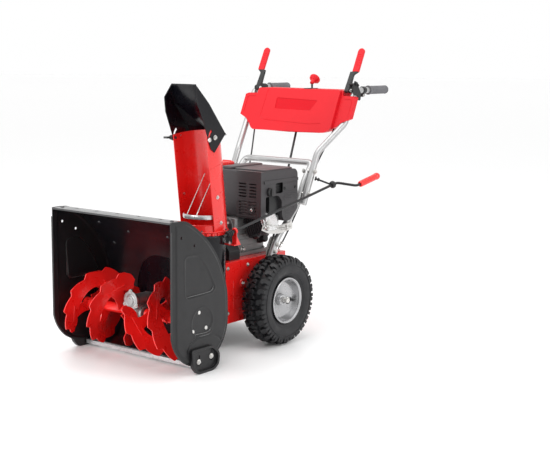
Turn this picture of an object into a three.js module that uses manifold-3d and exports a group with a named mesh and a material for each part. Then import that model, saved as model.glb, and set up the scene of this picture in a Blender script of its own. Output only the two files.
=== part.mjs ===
// Two stage snowblower: a wide auger housing, an impeller drum with a turning chute, a small
// engine on a two wheel tractor frame, and tube handles with a control panel.
// Millimetres. +Z is up and the ground is Z = 0, the intake faces -Y, and X = 0 is the middle
// plane of the machine. The group is shifted at the end so that its box is centred on X and Y.
import * as THREE from 'three';
import Module from 'manifold-3d';
import { mergeVertices } from 'three/addons/utils/BufferGeometryUtils.js';
import { ConvexGeometry } from 'three/addons/geometries/ConvexGeometry.js';

// ---------------------------------------------------------------- driving dimensions
const GAP = 0.3; // between pieces that touch
const RUN = 0.8; // between a shaft and the bore it turns in
const SHEET = 3; // steel sheet thickness

const HOUSING = { halfWidth: 284, top: 527, centreY: 142, centreZ: 169, radius: 145 };
const AUGER = { y: 138, z: 169, radius: 136, band: 56, thickness: 4, pitch: 235, teeth: 16 };
const AUGER_INNER_END = 42; // X where each auger half starts, beside the gearbox
const AUGER_OUTER_END = 262; // X where it ends, inside the bearing
const SHAFT_R = 12;
const IMPELLER = { z: 207, radius: 140, front: 300, back: 400 };
const DRUM = { radius: 150, front: 225, back: 430 };
const FRAME = { halfWidth: 150, front: 433, back: 790, bottom: 91, top: 318 };
const AXLE = { y: 632, z: 166, radius: 9.5 };
const TYRE = { radius: 166, inner: 186, outer: 290 };
const RIM_R = 85;
const CHUTE = { x: 94, y: 380, half: 80, wallFront: 346, centreY: 386, bottom: 441, lean: 0.126 };
const HOOD_PIVOT = { y: 341, z: 778 };
const HOOD_LOCK = { y: 312, z: 771 }; // bolt of the wing knob, in the hood's slot
const HOOD_TRAVEL = 60; // degrees
const PULLEY = { y: 500, half: 9, impeller: 92, engine: 38 };
const CRANK_Z = 424; // engine crankshaft height
const TUBE_R = 12.5;
const HANDLE_X = 250; // grips and upper ends of the handle tubes
const GRIP = { start: 1191, end: 1322, z: 927, radius: 16 };
const LEVER = { x: 228, bladeX: 238, pivotY: 1085, pivotZ: 927, length: 182 };
const SHIFT = { x: 35, pivotY: 1108, pivotZ: 800, knobZ: 950 };
const WORM = { x: 200, y: 395, z: 437 }; // lower end of the crank rod, beside the chute ring
const EYE = { x: 265, y: 935, z: 570 }; // eyebolt that holds the upper end of the crank rod
const CRANK_ARM = 102;

// ---------------------------------------------------------------- materials
const paint = (color, roughness, metalness) =>
  new THREE.MeshStandardMaterial({ color, roughness, metalness });
const RED = paint(0xc8181c, 0.35, 0.1);
const PANEL_RED = paint(0xf03040, 0.45, 0);
const BLACK = paint(0x1c1c20, 0.35, 0.2);
const ENGINE_BLACK = paint(0x2e2b30, 0.55, 0);
const RUBBER = paint(0x1a1a1c, 0.9, 0);
const GRIP_GREY = paint(0x6a6a6e, 0.85, 0);
const STEEL = paint(0xb8b8b8, 0.35, 0.9);
const CAST = paint(0x9a9a98, 0.5, 0.7);
const RIM_SILVER = paint(0xd0d0d0, 0.3, 0.6);

// ---------------------------------------------------------------- small tools
const wasm = await Module();
wasm.setup();

const v3 = (x, y, z) => new THREE.Vector3(x, y, z);

// Six times the volume that a list of triangles encloses, negative if they face inwards.
function signedVolume(position, index) {
  let sum = 0;
  const [a, b, c] = [v3(0, 0, 0), v3(0, 0, 0), v3(0, 0, 0)];
  for (let i = 0; i < index.length; i += 3) {
    a.fromBufferAttribute(position, index[i]);
    b.fromBufferAttribute(position, index[i + 1]);
    c.fromBufferAttribute(position, index[i + 2]);
    sum += a.dot(b.cross(c));
  }
  return sum;
}

// A closed three.js geometry as a manifold solid: triangles of no area are dropped, and the
// faces are turned outwards whichever way its profile ran.
function solid(geometry) {
  const bare = geometry.clone();
  bare.deleteAttribute('normal');
  bare.deleteAttribute('uv');
  const merged = mergeVertices(bare, 1e-4);
  const index = merged.index.array;
  const kept = [];
  for (let i = 0; i < index.length; i += 3) {
    const [a, b, c] = [index[i], index[i + 1], index[i + 2]];
    if (a !== b && b !== c && c !== a) kept.push(a, b, c);
  }
  if (signedVolume(merged.attributes.position, kept) < 0) kept.reverse();
  return new wasm.Manifold(new wasm.Mesh({
    numProp: 3,
    vertProperties: Float32Array.from(merged.attributes.position.array),
    triVerts: Uint32Array.from(kept),
  }));
}

function geometryOf(manifold) {
  const mesh = manifold.getMesh();
  const geometry = new THREE.BufferGeometry();
  geometry.setAttribute('position', new THREE.BufferAttribute(mesh.vertProperties, 3));
  geometry.setIndex(new THREE.BufferAttribute(mesh.triVerts, 1));
  return geometry;
}

const asSolid = (shape) => (shape.isBufferGeometry ? solid(shape) : shape);
const join = (...shapes) => shapes.map(asSolid).reduce((whole, next) => whole.add(next));
const cut = (base, ...tools) =>
  tools.map(asSolid).reduce((whole, next) => whole.subtract(next), asSolid(base));

// Outlines are lists of [u, w] points, or a THREE.Shape. prismX takes (Y, Z) outlines,
// prismY (X, Z) and prismZ (X, Y).
function extruded(outline, depth, curveSegments) {
  const shape = outline instanceof THREE.Shape ? outline
    : new THREE.Shape(outline.map(([u, w]) => new THREE.Vector2(u, w)));
  return new THREE.ExtrudeGeometry(shape, { depth, bevelEnabled: false, curveSegments });
}

function placed(geometry, xAxis, yAxis, zAxis, origin) {
  const matrix = new THREE.Matrix4().makeBasis(xAxis, yAxis, zAxis).setPosition(origin);
  return geometry.applyMatrix4(matrix);
}

const prismX = (outline, x0, x1, segments = 12) =>
  placed(extruded(outline, x1 - x0, segments), v3(0, 1, 0), v3(0, 0, 1), v3(1, 0, 0), v3(x0, 0, 0));
const prismY = (outline, y0, y1, segments = 12) =>
  placed(extruded(outline, y1 - y0, segments), v3(1, 0, 0), v3(0, 0, 1), v3(0, -1, 0), v3(0, y1, 0));
const prismZ = (outline, z0, z1, segments = 12) =>
  placed(extruded(outline, z1 - z0, segments), v3(1, 0, 0), v3(0, 1, 0), v3(0, 0, 1), v3(0, 0, z0));

const rectangle = (u0, u1, w0, w1) => [[u0, w0], [u1, w0], [u1, w1], [u0, w1]];
const block = (x0, x1, y0, y1, z0, z1) => prismX(rectangle(y0, y1, z0, z1), x0, x1);

// A rectangle with round corners.
function roundedRectangle(u0, u1, w0, w1, r) {
  const shape = new THREE.Shape();
  shape.moveTo(u0 + r, w0);
  shape.absarc(u1 - r, w0 + r, r, -Math.PI / 2, 0);
  shape.absarc(u1 - r, w1 - r, r, 0, Math.PI / 2);
  shape.absarc(u0 + r, w1 - r, r, Math.PI / 2, Math.PI);
  shape.absarc(u0 + r, w0 + r, r, Math.PI, Math.PI * 1.5);
  return shape;
}

// Points of a circular arc, angles in degrees.
function arc(u, w, r, from, to, steps) {
  return Array.from({ length: steps + 1 }, (_, i) => {
    const angle = THREE.MathUtils.degToRad(from + ((to - from) * i) / steps);
    return [u + r * Math.cos(angle), w + r * Math.sin(angle)];
  });
}

// A solid turned about the line from a, along the unit vector direction. The profile holds
// [radius, distance along the line] points, and starts and ends on the axis or closes on itself.
function turned(profile, a, direction, sides = 24) {
  const lathe = new THREE.LatheGeometry(profile.map(([r, h]) => new THREE.Vector2(r, h)), sides);
  const turn = new THREE.Quaternion().setFromUnitVectors(v3(0, 1, 0), direction);
  return lathe.applyQuaternion(turn).translate(a.x, a.y, a.z);
}

function rod(a, b, r, sides = 12) {
  const along = b.clone().sub(a);
  const length = along.length();
  return turned([[0, 0], [r, 0], [r, length], [0, length]], a, along.normalize(), sides);
}

// A ring with a rectangular section about an axis through a.
const ring = (a, direction, inner, outer, from, to, sides = 24) =>
  turned([[inner, from], [outer, from], [outer, to], [inner, to], [inner, from]], a, direction, sides);

// A path that stops at its own points, so that a bar is fine in its bends and plain between.
class BentPath extends THREE.Curve {
  constructor(points) {
    super();
    this.points = points;
  }

  getPointAt(u, target = v3(0, 0, 0)) {
    const place = u * (this.points.length - 1);
    const i = Math.min(Math.floor(place), this.points.length - 2);
    return target.lerpVectors(this.points[i], this.points[i + 1], place - i);
  }

  getTangentAt(u, target = v3(0, 0, 0)) {
    const i = Math.round(u * (this.points.length - 1));
    const from = this.points[Math.max(i - 1, 0)];
    const to = this.points[Math.min(i + 1, this.points.length - 1)];
    return target.subVectors(to, from).normalize();
  }
}

function sweptRound(points, r, sides) {
  const section = new THREE.Shape(arc(0, 0, r, 0, 360 - 360 / sides, sides - 1)
    .map(([u, w]) => new THREE.Vector2(u, w)));
  const extrudePath = new BentPath(points);
  return new THREE.ExtrudeGeometry(section, { steps: points.length - 1, extrudePath, bevelEnabled: false });
}

// A round bar along a bent line, with each inner corner rounded over `bend` each way.
function bentBar(points, r, bend, sides = 8) {
  const path = [points[0]];
  for (let i = 1; i < points.length - 1; i++) {
    const into = points[i].clone().sub(points[i - 1]).normalize();
    const out = points[i + 1].clone().sub(points[i]).normalize();
    const corner = new THREE.QuadraticBezierCurve3(points[i].clone().addScaledVector(into, -bend),
      points[i], points[i].clone().addScaledVector(out, bend));
    path.push(...corner.getPoints(into.dot(out) > 0.8 ? 1 : 4));
  }
  path.push(points[points.length - 1]);
  return sweptRound(path, r, sides);
}

const X_AXIS = v3(1, 0, 0);
const Y_AXIS = v3(0, 1, 0);
const Z_AXIS = v3(0, 0, 1);

const group = new THREE.Group();
function add(name, shape, material) {
  const mesh = new THREE.Mesh(geometryOf(asSolid(shape)), material);
  mesh.name = name;
  group.add(mesh);
}

const SIDES = [['left', 1], ['right', -1]]; // the operator's left is +X

// ---------------------------------------------------------------- auger housing
// The side outline runs from the top of the front edge, over the back and round the bottom.
function housingBack(inset) {
  const { centreY, centreZ, radius, top } = HOUSING;
  const crown = new THREE.SplineCurve([
    [0, top - inset], [42, top - inset], [83, 520 - inset], [148 - inset * 0.6, 478 - inset * 0.8],
    [204 - inset * 0.8, 426 - inset * 0.6], [248 - inset, 361], [281 - inset, 272],
    [centreY + radius - inset, centreZ + 20],
  ].map(([y, z]) => new THREE.Vector2(y, z)));
  const upper = crown.getPoints(14).map((p) => [p.x, p.y]);
  return upper.concat(arc(centreY, centreZ, radius - inset, 0, -86, 8));
}

function sidePlate(side) {
  const { centreY, centreZ, radius, halfWidth } = HOUSING;
  const front = arc(centreY, centreZ, radius, -97, -168, 8);
  const outline = housingBack(0).concat(front, [[0, centreZ - 18]]);
  const [x0, x1] = side > 0 ? [halfWidth - SHEET, halfWidth] : [-halfWidth, -halfWidth + SHEET];
  const holes = [[48, 472], [111, 439]].map(([y, z]) =>
    rod(v3(x0 - 1, y, z), v3(x1 + 1, y, z), 5, 8));
  return cut(prismX(outline, x0, x1), ...holes);
}

function housingShell() {
  const outer = housingBack(1);
  const inner = housingBack(1 + SHEET).reverse();
  const half = HOUSING.halfWidth - SHEET - GAP;
  const impellerHole = rod(v3(0, 150, IMPELLER.z), v3(0, 400, IMPELLER.z), DRUM.radius - SHEET, 28);
  return cut(prismX(outer.concat(inner), -half, half), impellerHole);
}

add('housing_shell', housingShell(), BLACK);
for (const [name, side] of SIDES) add(`side_plate_${name}`, sidePlate(side), BLACK);

const SCRAPER = [[149, 8], [154, 8], [205, 19], [205, 22.5], [149, 22.5]];
add('scraper_bar', prismX(SCRAPER, -279, 279), STEEL);

// Skid shoes: a tray shaped plate with a raised rim, a flat sole, and two upright slots.
function skidShoe(side) {
  const outline = [[85, 86], [92, 28], [116, 0], [200, 0], [226, 18], [229, 58], [194, 89], [90, 89]];
  const tray = [[96, 80], [101, 31], [120, 10], [196, 10], [217, 22], [219, 55], [190, 80]];
  const x0 = HOUSING.halfWidth + GAP;
  const slots = [[129, 45], [193, 53]].map(([y, z]) =>
    prismX(roundedRectangle(y - 6, y + 6, z - 19, z + 19, 5.9), x0 - 1, x0 + 20, 2));
  const shoe = cut(prismX(outline, x0, x0 + 15), prismX(tray, x0 + 5, x0 + 16), ...slots);
  return side > 0 ? shoe : shoe.mirror([1, 0, 0]);
}
for (const [name, side] of SIDES) add(`skid_shoe_${name}`, skidShoe(side), BLACK);

// ---------------------------------------------------------------- auger
for (const [name, side] of SIDES) {
  const cup = [[0, 0], [32, 0], [32, 6], [22, 16], [SHAFT_R + RUN, 16], [SHAFT_R + RUN, 4], [0, 4]];
  const seat = v3(side * (HOUSING.halfWidth - SHEET - GAP), AUGER.y, AUGER.z);
  add(`auger_bearing_${name}`, turned(cup, seat, v3(-side, 0, 0), 16), CAST);
}

// One ribbon of the auger: a rectangular strip wound about the X axis, its outer edge toothed.
function augerRibbon(x0, x1, startAngle, hand) {
  const { radius, band, thickness, pitch, teeth } = AUGER;
  const turns = (x1 - x0) / pitch;
  const toothCut = [0, 12];
  const perTooth = toothCut.length;
  const steps = Math.round(teeth * turns) * perTooth;
  const positions = [];
  const index = [];
  for (let i = 0; i <= steps; i++) {
    const angle = startAngle + hand * turns * Math.PI * 2 * (i / steps);
    const x = x0 + ((x1 - x0) * i) / steps;
    const outer = radius - toothCut[i % perTooth];
    const inner = radius - band;
    for (const [r, dx] of [[inner, -1], [outer, -1], [outer, 1], [inner, 1]]) {
      positions.push(x + (dx * thickness) / 2, AUGER.y + r * Math.cos(angle), AUGER.z + r * Math.sin(angle));
    }
    if (i === steps) break;
    for (let k = 0; k < 4; k++) {
      const [a, b] = [i * 4 + k, i * 4 + ((k + 1) % 4)];
      index.push(a, b, a + 4, b, b + 4, a + 4);
    }
  }
  const last = steps * 4;
  index.push(0, 2, 1, 0, 3, 2, last, last + 1, last + 2, last, last + 2, last + 3);
  const geometry = new THREE.BufferGeometry();
  geometry.setAttribute('position', new THREE.BufferAttribute(Float32Array.from(positions), 3));
  geometry.setIndex(index);
  return solid(geometry);
}

// Half of the auger: a tube, two ribbons half a turn apart, and arms that carry them.
function augerHalf(side) {
  const [x0, x1] = side > 0 ? [AUGER_INNER_END, AUGER_OUTER_END] : [-AUGER_OUTER_END, -AUGER_INNER_END];
  const [ribbonStart, ribbonEnd] = side > 0 ? [x0 + 2, x1 + 8] : [x0 - 8, x1 - 2];
  const tube = rod(v3(x0, AUGER.y, AUGER.z), v3(x1, AUGER.y, AUGER.z), 18, 12);
  const bore = rod(v3(x0 - 1, AUGER.y, AUGER.z), v3(x1 + 1, AUGER.y, AUGER.z), SHAFT_R + GAP, 12);
  const zeroX = side > 0 ? 60 : -230; // X where a ribbon faces straight forwards
  const forward = Math.PI;
  const parts = [];
  for (let start = 0; start < 2; start++) {
    const angleAt = (x) => forward + start * Math.PI + (side * (x - zeroX) * Math.PI * 2) / AUGER.pitch;
    parts.push(augerRibbon(ribbonStart, ribbonEnd, angleAt(ribbonStart), side));
    for (const share of [0.12, 0.5, 0.88]) {
      const x = ribbonStart + (ribbonEnd - ribbonStart) * share;
      const reach = AUGER.radius - AUGER.band + 12;
      const arm = block(x - 3, x + 3, AUGER.y + 14, AUGER.y + reach, AUGER.z - 13, AUGER.z + 13);
      arm.translate(0, -AUGER.y, -AUGER.z).rotateX(angleAt(x)).translate(0, AUGER.y, AUGER.z);
      parts.push(arm);
    }
  }
  return cut(join(tube, ...parts), bore);
}
for (const [name, side] of SIDES) add(`auger_${name}`, augerHalf(side), RED);

const shaftEnd = HOUSING.halfWidth - SHEET - GAP - 5;
add('auger_shaft', rod(v3(-shaftEnd, AUGER.y, AUGER.z), v3(shaftEnd, AUGER.y, AUGER.z), SHAFT_R, 12), STEEL);

// Gearbox: the worm wheel case round the auger shaft, and the worm case above it.
const COVER_Y = 102;
function gearboxCase() {
  const wheelCase = turned([[0, -36], [24, -36], [36, -20], [36, 20], [24, 36], [0, 36]],
    v3(0, AUGER.y, AUGER.z), X_AXIS, 16);
  const wormCase = turned([[0, 0], [30, 0], [30, 12], [26, 20], [26, 86], [19, 96], [19, 126], [0, 126]],
    v3(0, COVER_Y, IMPELLER.z + 3), Y_AXIS, 16);
  const augerBore = rod(v3(-50, AUGER.y, AUGER.z), v3(50, AUGER.y, AUGER.z), SHAFT_R + RUN, 12);
  const wormBore = rod(v3(0, 180, IMPELLER.z), v3(0, 240, IMPELLER.z), SHAFT_R + RUN, 12);
  return cut(join(wheelCase, wormCase), augerBore, wormBore);
}
add('gearbox_case', gearboxCase(), CAST);
const coverProfile = [[0, 0], [17, 0], [20, 4], [33, 4], [33, 10], [0, 10]];
const coverFoot = v3(0, COVER_Y - GAP - 10, IMPELLER.z + 3);
add('gearbox_cover', turned(coverProfile, coverFoot, Y_AXIS, 16), STEEL);

// ---------------------------------------------------------------- impeller and drum
function impeller() {
  const { front, back, radius, z } = IMPELLER;
  const parts = [rod(v3(0, front, z), v3(0, back, z), 24, 16)];
  for (let i = 0; i < 4; i++) {
    const blade = join(
      block(-3, 3, front, back, 18, radius),
      block(-3, 20, front, back, radius - 5, radius - 1));
    parts.push(blade.rotate([0, 45 + i * 90, 0]).translate([0, 0, z]));
  }
  const bore = rod(v3(0, front - 1, z), v3(0, back + 1, z), SHAFT_R + GAP, 16);
  return cut(join(...parts), bore);
}
add('impeller', impeller(), RED);
add('impeller_shaft', rod(v3(0, 184, IMPELLER.z), v3(0, PULLEY.y + 22, IMPELLER.z), SHAFT_R, 16), STEEL);

// The drum, and the round outlet on its side that the chute stands on.
function impellerDrum() {
  const can = (r, y0, y1) => solid(rod(v3(0, y0, IMPELLER.z), v3(0, y1, IMPELLER.z), r, 28));
  const outlet = (r, z0, z1) => solid(rod(v3(CHUTE.x, CHUTE.y, z0), v3(CHUTE.x, CHUTE.y, z1), r, 24));
  const behind = block(-300, 300, DRUM.back, 600, 0, FRAME.top + 4);
  const outer = join(can(DRUM.radius, DRUM.front, DRUM.back), cut(outlet(78, 240, 430), behind));
  const behindInner = block(-300, 300, DRUM.back - SHEET, 600, 0, FRAME.top + 4 + SHEET);
  const inner = join(can(DRUM.radius - SHEET, DRUM.front - 1, DRUM.back - SHEET),
    cut(outlet(75, 240 + SHEET, 440), behindInner));
  const housing = prismX(housingBack(1 - GAP).concat([[-50, 20], [-50, HOUSING.top]]), -300, 300);
  const shaftHole = rod(v3(0, 400, IMPELLER.z), v3(0, 450, IMPELLER.z), 18, 16);
  const flange = ring(v3(CHUTE.x, CHUTE.y, 0), Z_AXIS, 75, 88, 424, 430, 24);
  return cut(join(cut(outer, inner), flange), housing, shaftHole);
}
add('impeller_drum', impellerDrum(), BLACK);

// ---------------------------------------------------------------- tractor frame and belt drive
function tractorFrame() {
  const { halfWidth: w, front, back, bottom, top } = FRAME;
  const shell = cut(block(-w, w, front, back, bottom, top),
    block(-w + SHEET, w - SHEET, front + SHEET, back - SHEET, bottom - 1, top - SHEET));
  const beltWell = block(-125, 125, 478, 532, top - 10, top + 1);
  const shaftHole = rod(v3(0, front - 5, IMPELLER.z), v3(0, front + 10, IMPELLER.z), 18, 16);
  const axleHole = rod(v3(-200, AXLE.y, AXLE.z), v3(200, AXLE.y, AXLE.z), AXLE.radius + 0.5, 16);
  const bosses = SIDES.map(([, side]) =>
    ring(v3(side * w, AXLE.y, AXLE.z), v3(side, 0, 0), 5, 24, -6, 10, 12));
  return cut(join(shell, ...bosses), beltWell, shaftHole, axleHole);
}
add('tractor_frame', tractorFrame(), RED);

// Belt cover: a deep lid over both pulleys, open below into the frame.
function beltCover() {
  const outline = (inset, foot) => [
    [-132 + inset, foot], [132 - inset, foot], [132 - inset, 352],
    ...arc(0, CRANK_Z, 62 - inset, 25, 155, 8), [-132 + inset, 352],
  ];
  const lid = prismY(outline(0, FRAME.top + GAP), 475, 536);
  const hollow = prismY(outline(SHEET, FRAME.top - 5), 475 + SHEET, 536 - SHEET);
  const shaftHole = rod(v3(0, 525, CRANK_Z), v3(0, 545, CRANK_Z), 20, 16);
  return cut(lid, hollow, shaftHole);
}
add('belt_cover', beltCover(), BLACK);

const pulleyProfile = (r, bore) => [
  [bore, -PULLEY.half], [r, -PULLEY.half], [r - 6, 0], [r, PULLEY.half], [bore, PULLEY.half],
  [bore, -PULLEY.half],
];
add('impeller_pulley', turned(pulleyProfile(PULLEY.impeller, SHAFT_R + GAP),
  v3(0, PULLEY.y, IMPELLER.z), Y_AXIS, 24), CAST);

// V belt: the tangent loop round two circles one above the other.
function beltLoop() {
  const loop = (extra) => {
    const [low, high] = [PULLEY.impeller + extra, PULLEY.engine + extra];
    const slope = THREE.MathUtils.radToDeg(Math.asin((low - high) / (CRANK_Z - IMPELLER.z)));
    return arc(0, CRANK_Z, high, slope, 180 - slope, 7)
      .concat(arc(0, IMPELLER.z, low, 180 - slope, 360 + slope, 17));
  };
  return cut(prismY(loop(7.5), PULLEY.y - 5, PULLEY.y + 5), prismY(loop(GAP), PULLEY.y - 6, PULLEY.y + 6));
}
add('auger_belt', beltLoop(), RUBBER);

function crankshaft() {
  const shaft = rod(v3(0, 486, CRANK_Z), v3(0, 580, CRANK_Z), 11, 16);
  const pulley = turned(pulleyProfile(PULLEY.engine, 5), v3(0, PULLEY.y, CRANK_Z), Y_AXIS, 16);
  return join(shaft, pulley);
}
add('crankshaft', crankshaft(), CAST);

// ---------------------------------------------------------------- engine
// The block, its cylinder tilted towards +X, bolted to the frame.
function crankcase() {
  const low = prismY([[-92, 330], [-92, 440], [-70, 462], [70, 462], [92, 440], [92, 330]], 556, 736);
  const high = prismY([[-92, 400], [-92, 470], [-60, 505], [60, 505], [92, 470], [92, 400]], 606, 736);
  const foot = block(-104, 104, 562, 730, FRAME.top + GAP, 332);
  const seal = rod(v3(0, 541, CRANK_Z), v3(0, 560, CRANK_Z), 34, 20);
  const shaftHole = rod(v3(0, 530, CRANK_Z), v3(0, 590, CRANK_Z), 11.5, 16);
  return cut(join(low, high, foot, seal), shaftHole);
}
add('crankcase', crankcase(), CAST);

const CYLINDER_TILT = THREE.MathUtils.degToRad(22);
function alongCylinder(geometry) {
  return geometry.rotateY(-CYLINDER_TILT).translate(50, 0, CRANK_Z - 24);
}
// Finned barrel: plates round a core, square to the cylinder's axis.
function cylinderBlock() {
  const parts = [alongCylinder(block(52, 132, 612, 686, -30, 30))];
  for (let i = 0; i < 5; i++) {
    const x = 60 + i * 14;
    parts.push(alongCylinder(block(x, x + 6, 602, 696, -40, 40)));
  }
  const caseRoom = prismY([[-92 - GAP, 300], [-92, 470], [92 + GAP, 470.5], [92 + GAP, 300]], 550, 740);
  return cut(join(...parts), caseRoom);
}
add('cylinder_block', cylinderBlock(), CAST);
add('valve_cover', alongCylinder(prismX(roundedRectangle(608, 690, -36, 36, 16), 132 + GAP, 152, 3)), STEEL);

// Box cover over the carburettor and exhaust side, and the louvred guard in front of it.
function sideCover() {
  const outline = [[589, 632], [596, 640], [780, 640], [794, 626], [796, 488], [750, 446], [712, 446],
    [700, 470], [696, 530], [676, 546], [601, 546], [601, 466], [589, 466]];
  const wall = 4;
  const box = prismX(outline, -16, 200);
  const inner = [[593, 628], [598, 636], [778, 636], [790, 624], [792, 490], [748, 450], [748, 442],
    [716, 442], [704, 470], [700, 534], [678, 542], [605, 542], [605, 462], [593, 462]];
  const hollow = prismX(inner, -20, 200 - wall);
  const window = prismX(rectangle(652, 690, 560, 610), 190, 205);
  const guardRoom = block(84, 210, 580, 612, 460, 546);
  const caseRoom = block(-30, 104, 690, 800, 400, 536);
  return cut(box, hollow, window, guardRoom, caseRoom);
}
add('side_cover', sideCover(), ENGINE_BLACK);

function mufflerGuard() {
  const box = prismY(roundedRectangle(84, 200, 468, 640, 8), 572, 587.6, 3);
  const slots = [];
  for (const [x0, x1] of [[94, 122], [128, 158]]) {
    for (let i = 0; i < 8; i++) {
      const z = 482 + i * 17;
      slots.push(block(x0, x1, 570, 579, z, z + 7));
    }
  }
  return cut(box, ...slots);
}
add('muffler_guard', mufflerGuard(), ENGINE_BLACK);
add('muffler', prismX(roundedRectangle(588.5, 601, 478, 542, 6), 100, 186, 2), CAST);

// Tank on the operator's right, with a round neck for the cap.
function fuelTank() {
  const tank = prismY(roundedRectangle(-168, -20, 520, 628, 18), 590, 792, 3);
  const neck = rod(v3(-70, 700, 620), v3(-70, 700, 636), 21, 16);
  const cavity = prismY(roundedRectangle(-163, -25, 525, 623, 14), 595, 787, 2);
  const mouth = rod(v3(-70, 700, 600), v3(-70, 700, 640), 15, 12);
  return cut(join(tank, neck), cavity, mouth);
}
add('fuel_tank', fuelTank(), ENGINE_BLACK);
add('fuel_cap', turned([[0, 0], [27, 0], [28, 3], [28, 16], [24, 20], [0, 20]],
  v3(-70, 700, 636 + GAP), Z_AXIS, 16), RED);

add('recoil_cover', turned([[0, 0], [92, 0], [96, 6], [96, 34], [84, 52], [40, 60], [0, 60]],
  v3(0, 736 + GAP, CRANK_Z), Y_AXIS, 20), ENGINE_BLACK);
const PULL = v3(-45, 804, 470); // starter handle
add('starter_handle', join(
  block(PULL.x - 34, PULL.x + 34, PULL.y, PULL.y + 16, PULL.z - 9, PULL.z + 9),
  block(PULL.x - 9, PULL.x + 9, PULL.y - 7, PULL.y + 2, PULL.z - 9, PULL.z + 9)), ENGINE_BLACK);
add('choke_knob', turned([[0, 0], [19, 0], [19, 5], [17, 9], [0, 9]], v3(200 + GAP, 622, 563), X_AXIS, 14),
  ENGINE_BLACK);

// ---------------------------------------------------------------- wheels
add('axle', rod(v3(-283, AXLE.y, AXLE.z), v3(283, AXLE.y, AXLE.z), AXLE.radius, 16), STEEL);

// Tyre: a ring with a round crown, as wide as its lugs reach.
function tyre(side) {
  const { radius, inner, outer } = TYRE;
  const half = (outer - inner) / 2;
  const profile = [
    [RIM_R + 1, -half + 10], [RIM_R + 14, -half + 4], [132, -half], [radius - 4, -half + 12],
    [radius, -half + 24], [radius, half - 24], [radius - 4, half - 12], [132, half],
    [RIM_R + 14, half - 4], [RIM_R + 1, half - 10], [RIM_R + 1, -half + 10],
  ];
  return turned(profile, v3((side * (inner + outer)) / 2, AXLE.y, AXLE.z), X_AXIS, 24);
}

// Pressed rim: flanges, a drop centre, and a dished disc with a hub on the axle.
function rim(side) {
  const flange = 85;
  const profile = [
    [AXLE.radius + GAP, -26], [20, -26], [20, -6], [66, 4], [71, -44], [flange, -44], [76, -36],
    [76, 36], [flange, 44], [71, 44], [66, 12], [20, 2], [20, 22], [AXLE.radius + GAP, 22],
    [AXLE.radius + GAP, -26],
  ];
  const mid = (TYRE.inner + TYRE.outer) / 2;
  return turned(profile, v3(side * mid, AXLE.y, AXLE.z), v3(side, 0, 0), 16);
}
for (const [name, side] of SIDES) {
  add(`tyre_${name}`, tyre(side), RUBBER);
  add(`rim_${name}`, rim(side), RIM_SILVER);
}

// ---------------------------------------------------------------- chute
const CHUTE_AXIS = v3(CHUTE.x, CHUTE.y, 0);

// Toothed ring under the chute, which turns on the drum's outlet.
function chuteRing() {
  const teeth = 26;
  const outline = [];
  for (let i = 0; i < teeth; i++) {
    for (const [r, share] of [[84, -0.25], [90, 0.25]]) {
      const angle = ((i + share) / teeth) * Math.PI * 2;
      outline.push([CHUTE.x + r * Math.cos(angle), CHUTE.y + r * Math.sin(angle)]);
    }
  }
  const bore = rod(v3(CHUTE.x, CHUTE.y, 420), v3(CHUTE.x, CHUTE.y, 450), 72, 24);
  return cut(prismZ(outline, 430 + GAP, CHUTE.bottom - GAP), bore);
}
add('chute_ring', chuteRing(), RED);

const leanBack = (z) => -(z - CHUTE.bottom) * CHUTE.lean;

// The chute: a U of sheet, open to the front, leaning forwards, and cut square at the top.
function chuteBody() {
  const { x, half, wallFront, centreY, bottom, lean } = CHUTE;
  const u = (r, front) => [[x + r, front], ...arc(x, centreY, r, 0, 180, 12), [x - r, front]];
  const outside = prismZ(u(half, wallFront), bottom, 840);
  const blank = cut(outside, prismZ(u(half - 2.5, wallFront - 5), bottom - 1, 841));
  const shear = [1, 0, 0, 0, 1, 0, 0, -lean, 1, 0, lean * bottom, 0];
  const topFront = 783;
  const above = [[200, topFront - 8], [303, topFront], [520, topFront + 27], [520, 900], [200, 900]];
  const trimmed = prismX(above, x - 100, x + 100);
  const base = ring(CHUTE_AXIS, Z_AXIS, 72, 86, bottom, bottom + 4, 20);
  const front = cut(
    ring(CHUTE_AXIS, Z_AXIS, 77, 80, bottom, bottom + 26, 20),
    block(x - 100, x + 100, CHUTE.y - 26, 520, bottom - 1, bottom + 30));
  const wall = cut(blank.transform(columns(shear)), trimmed);
  const bolts = [HOOD_PIVOT, HOOD_LOCK].map(({ y, z }) =>
    rod(v3(x - 100, y, z), v3(x + 100, y, z), 4.4, 8));
  return cut(join(wall, base, front), ...bolts);
}

// A column-major 4 by 3 list as the 16 numbers that manifold takes.
function columns([a, b, c, d, e, f, g, h, i, j, k, l]) {
  return [a, b, c, 0, d, e, f, 0, g, h, i, 0, j, k, l, 1];
}
add('chute', chuteBody(), RED);

// Hand guard: a bowed strip across the chute's mouth with two rods up to its back wall.
function chuteGuard() {
  const low = 488;
  const r = CHUTE.half - 4;
  const y = CHUTE.centreY + leanBack(low);
  const strip = (radius) => arc(CHUTE.x, y, radius, 205, 335, 8);
  const band = prismZ(strip(r).concat(strip(r - 2.5).reverse()), low, low + 15);
  const rods = [-22, 22].map((dx) =>
    rod(v3(CHUTE.x + dx, y - r + 5, low + 8), v3(CHUTE.x + dx, CHUTE.centreY + 22, 640), 2.2, 8));
  return join(band, ...rods);
}
add('chute_guard', chuteGuard(), STEEL);

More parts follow.
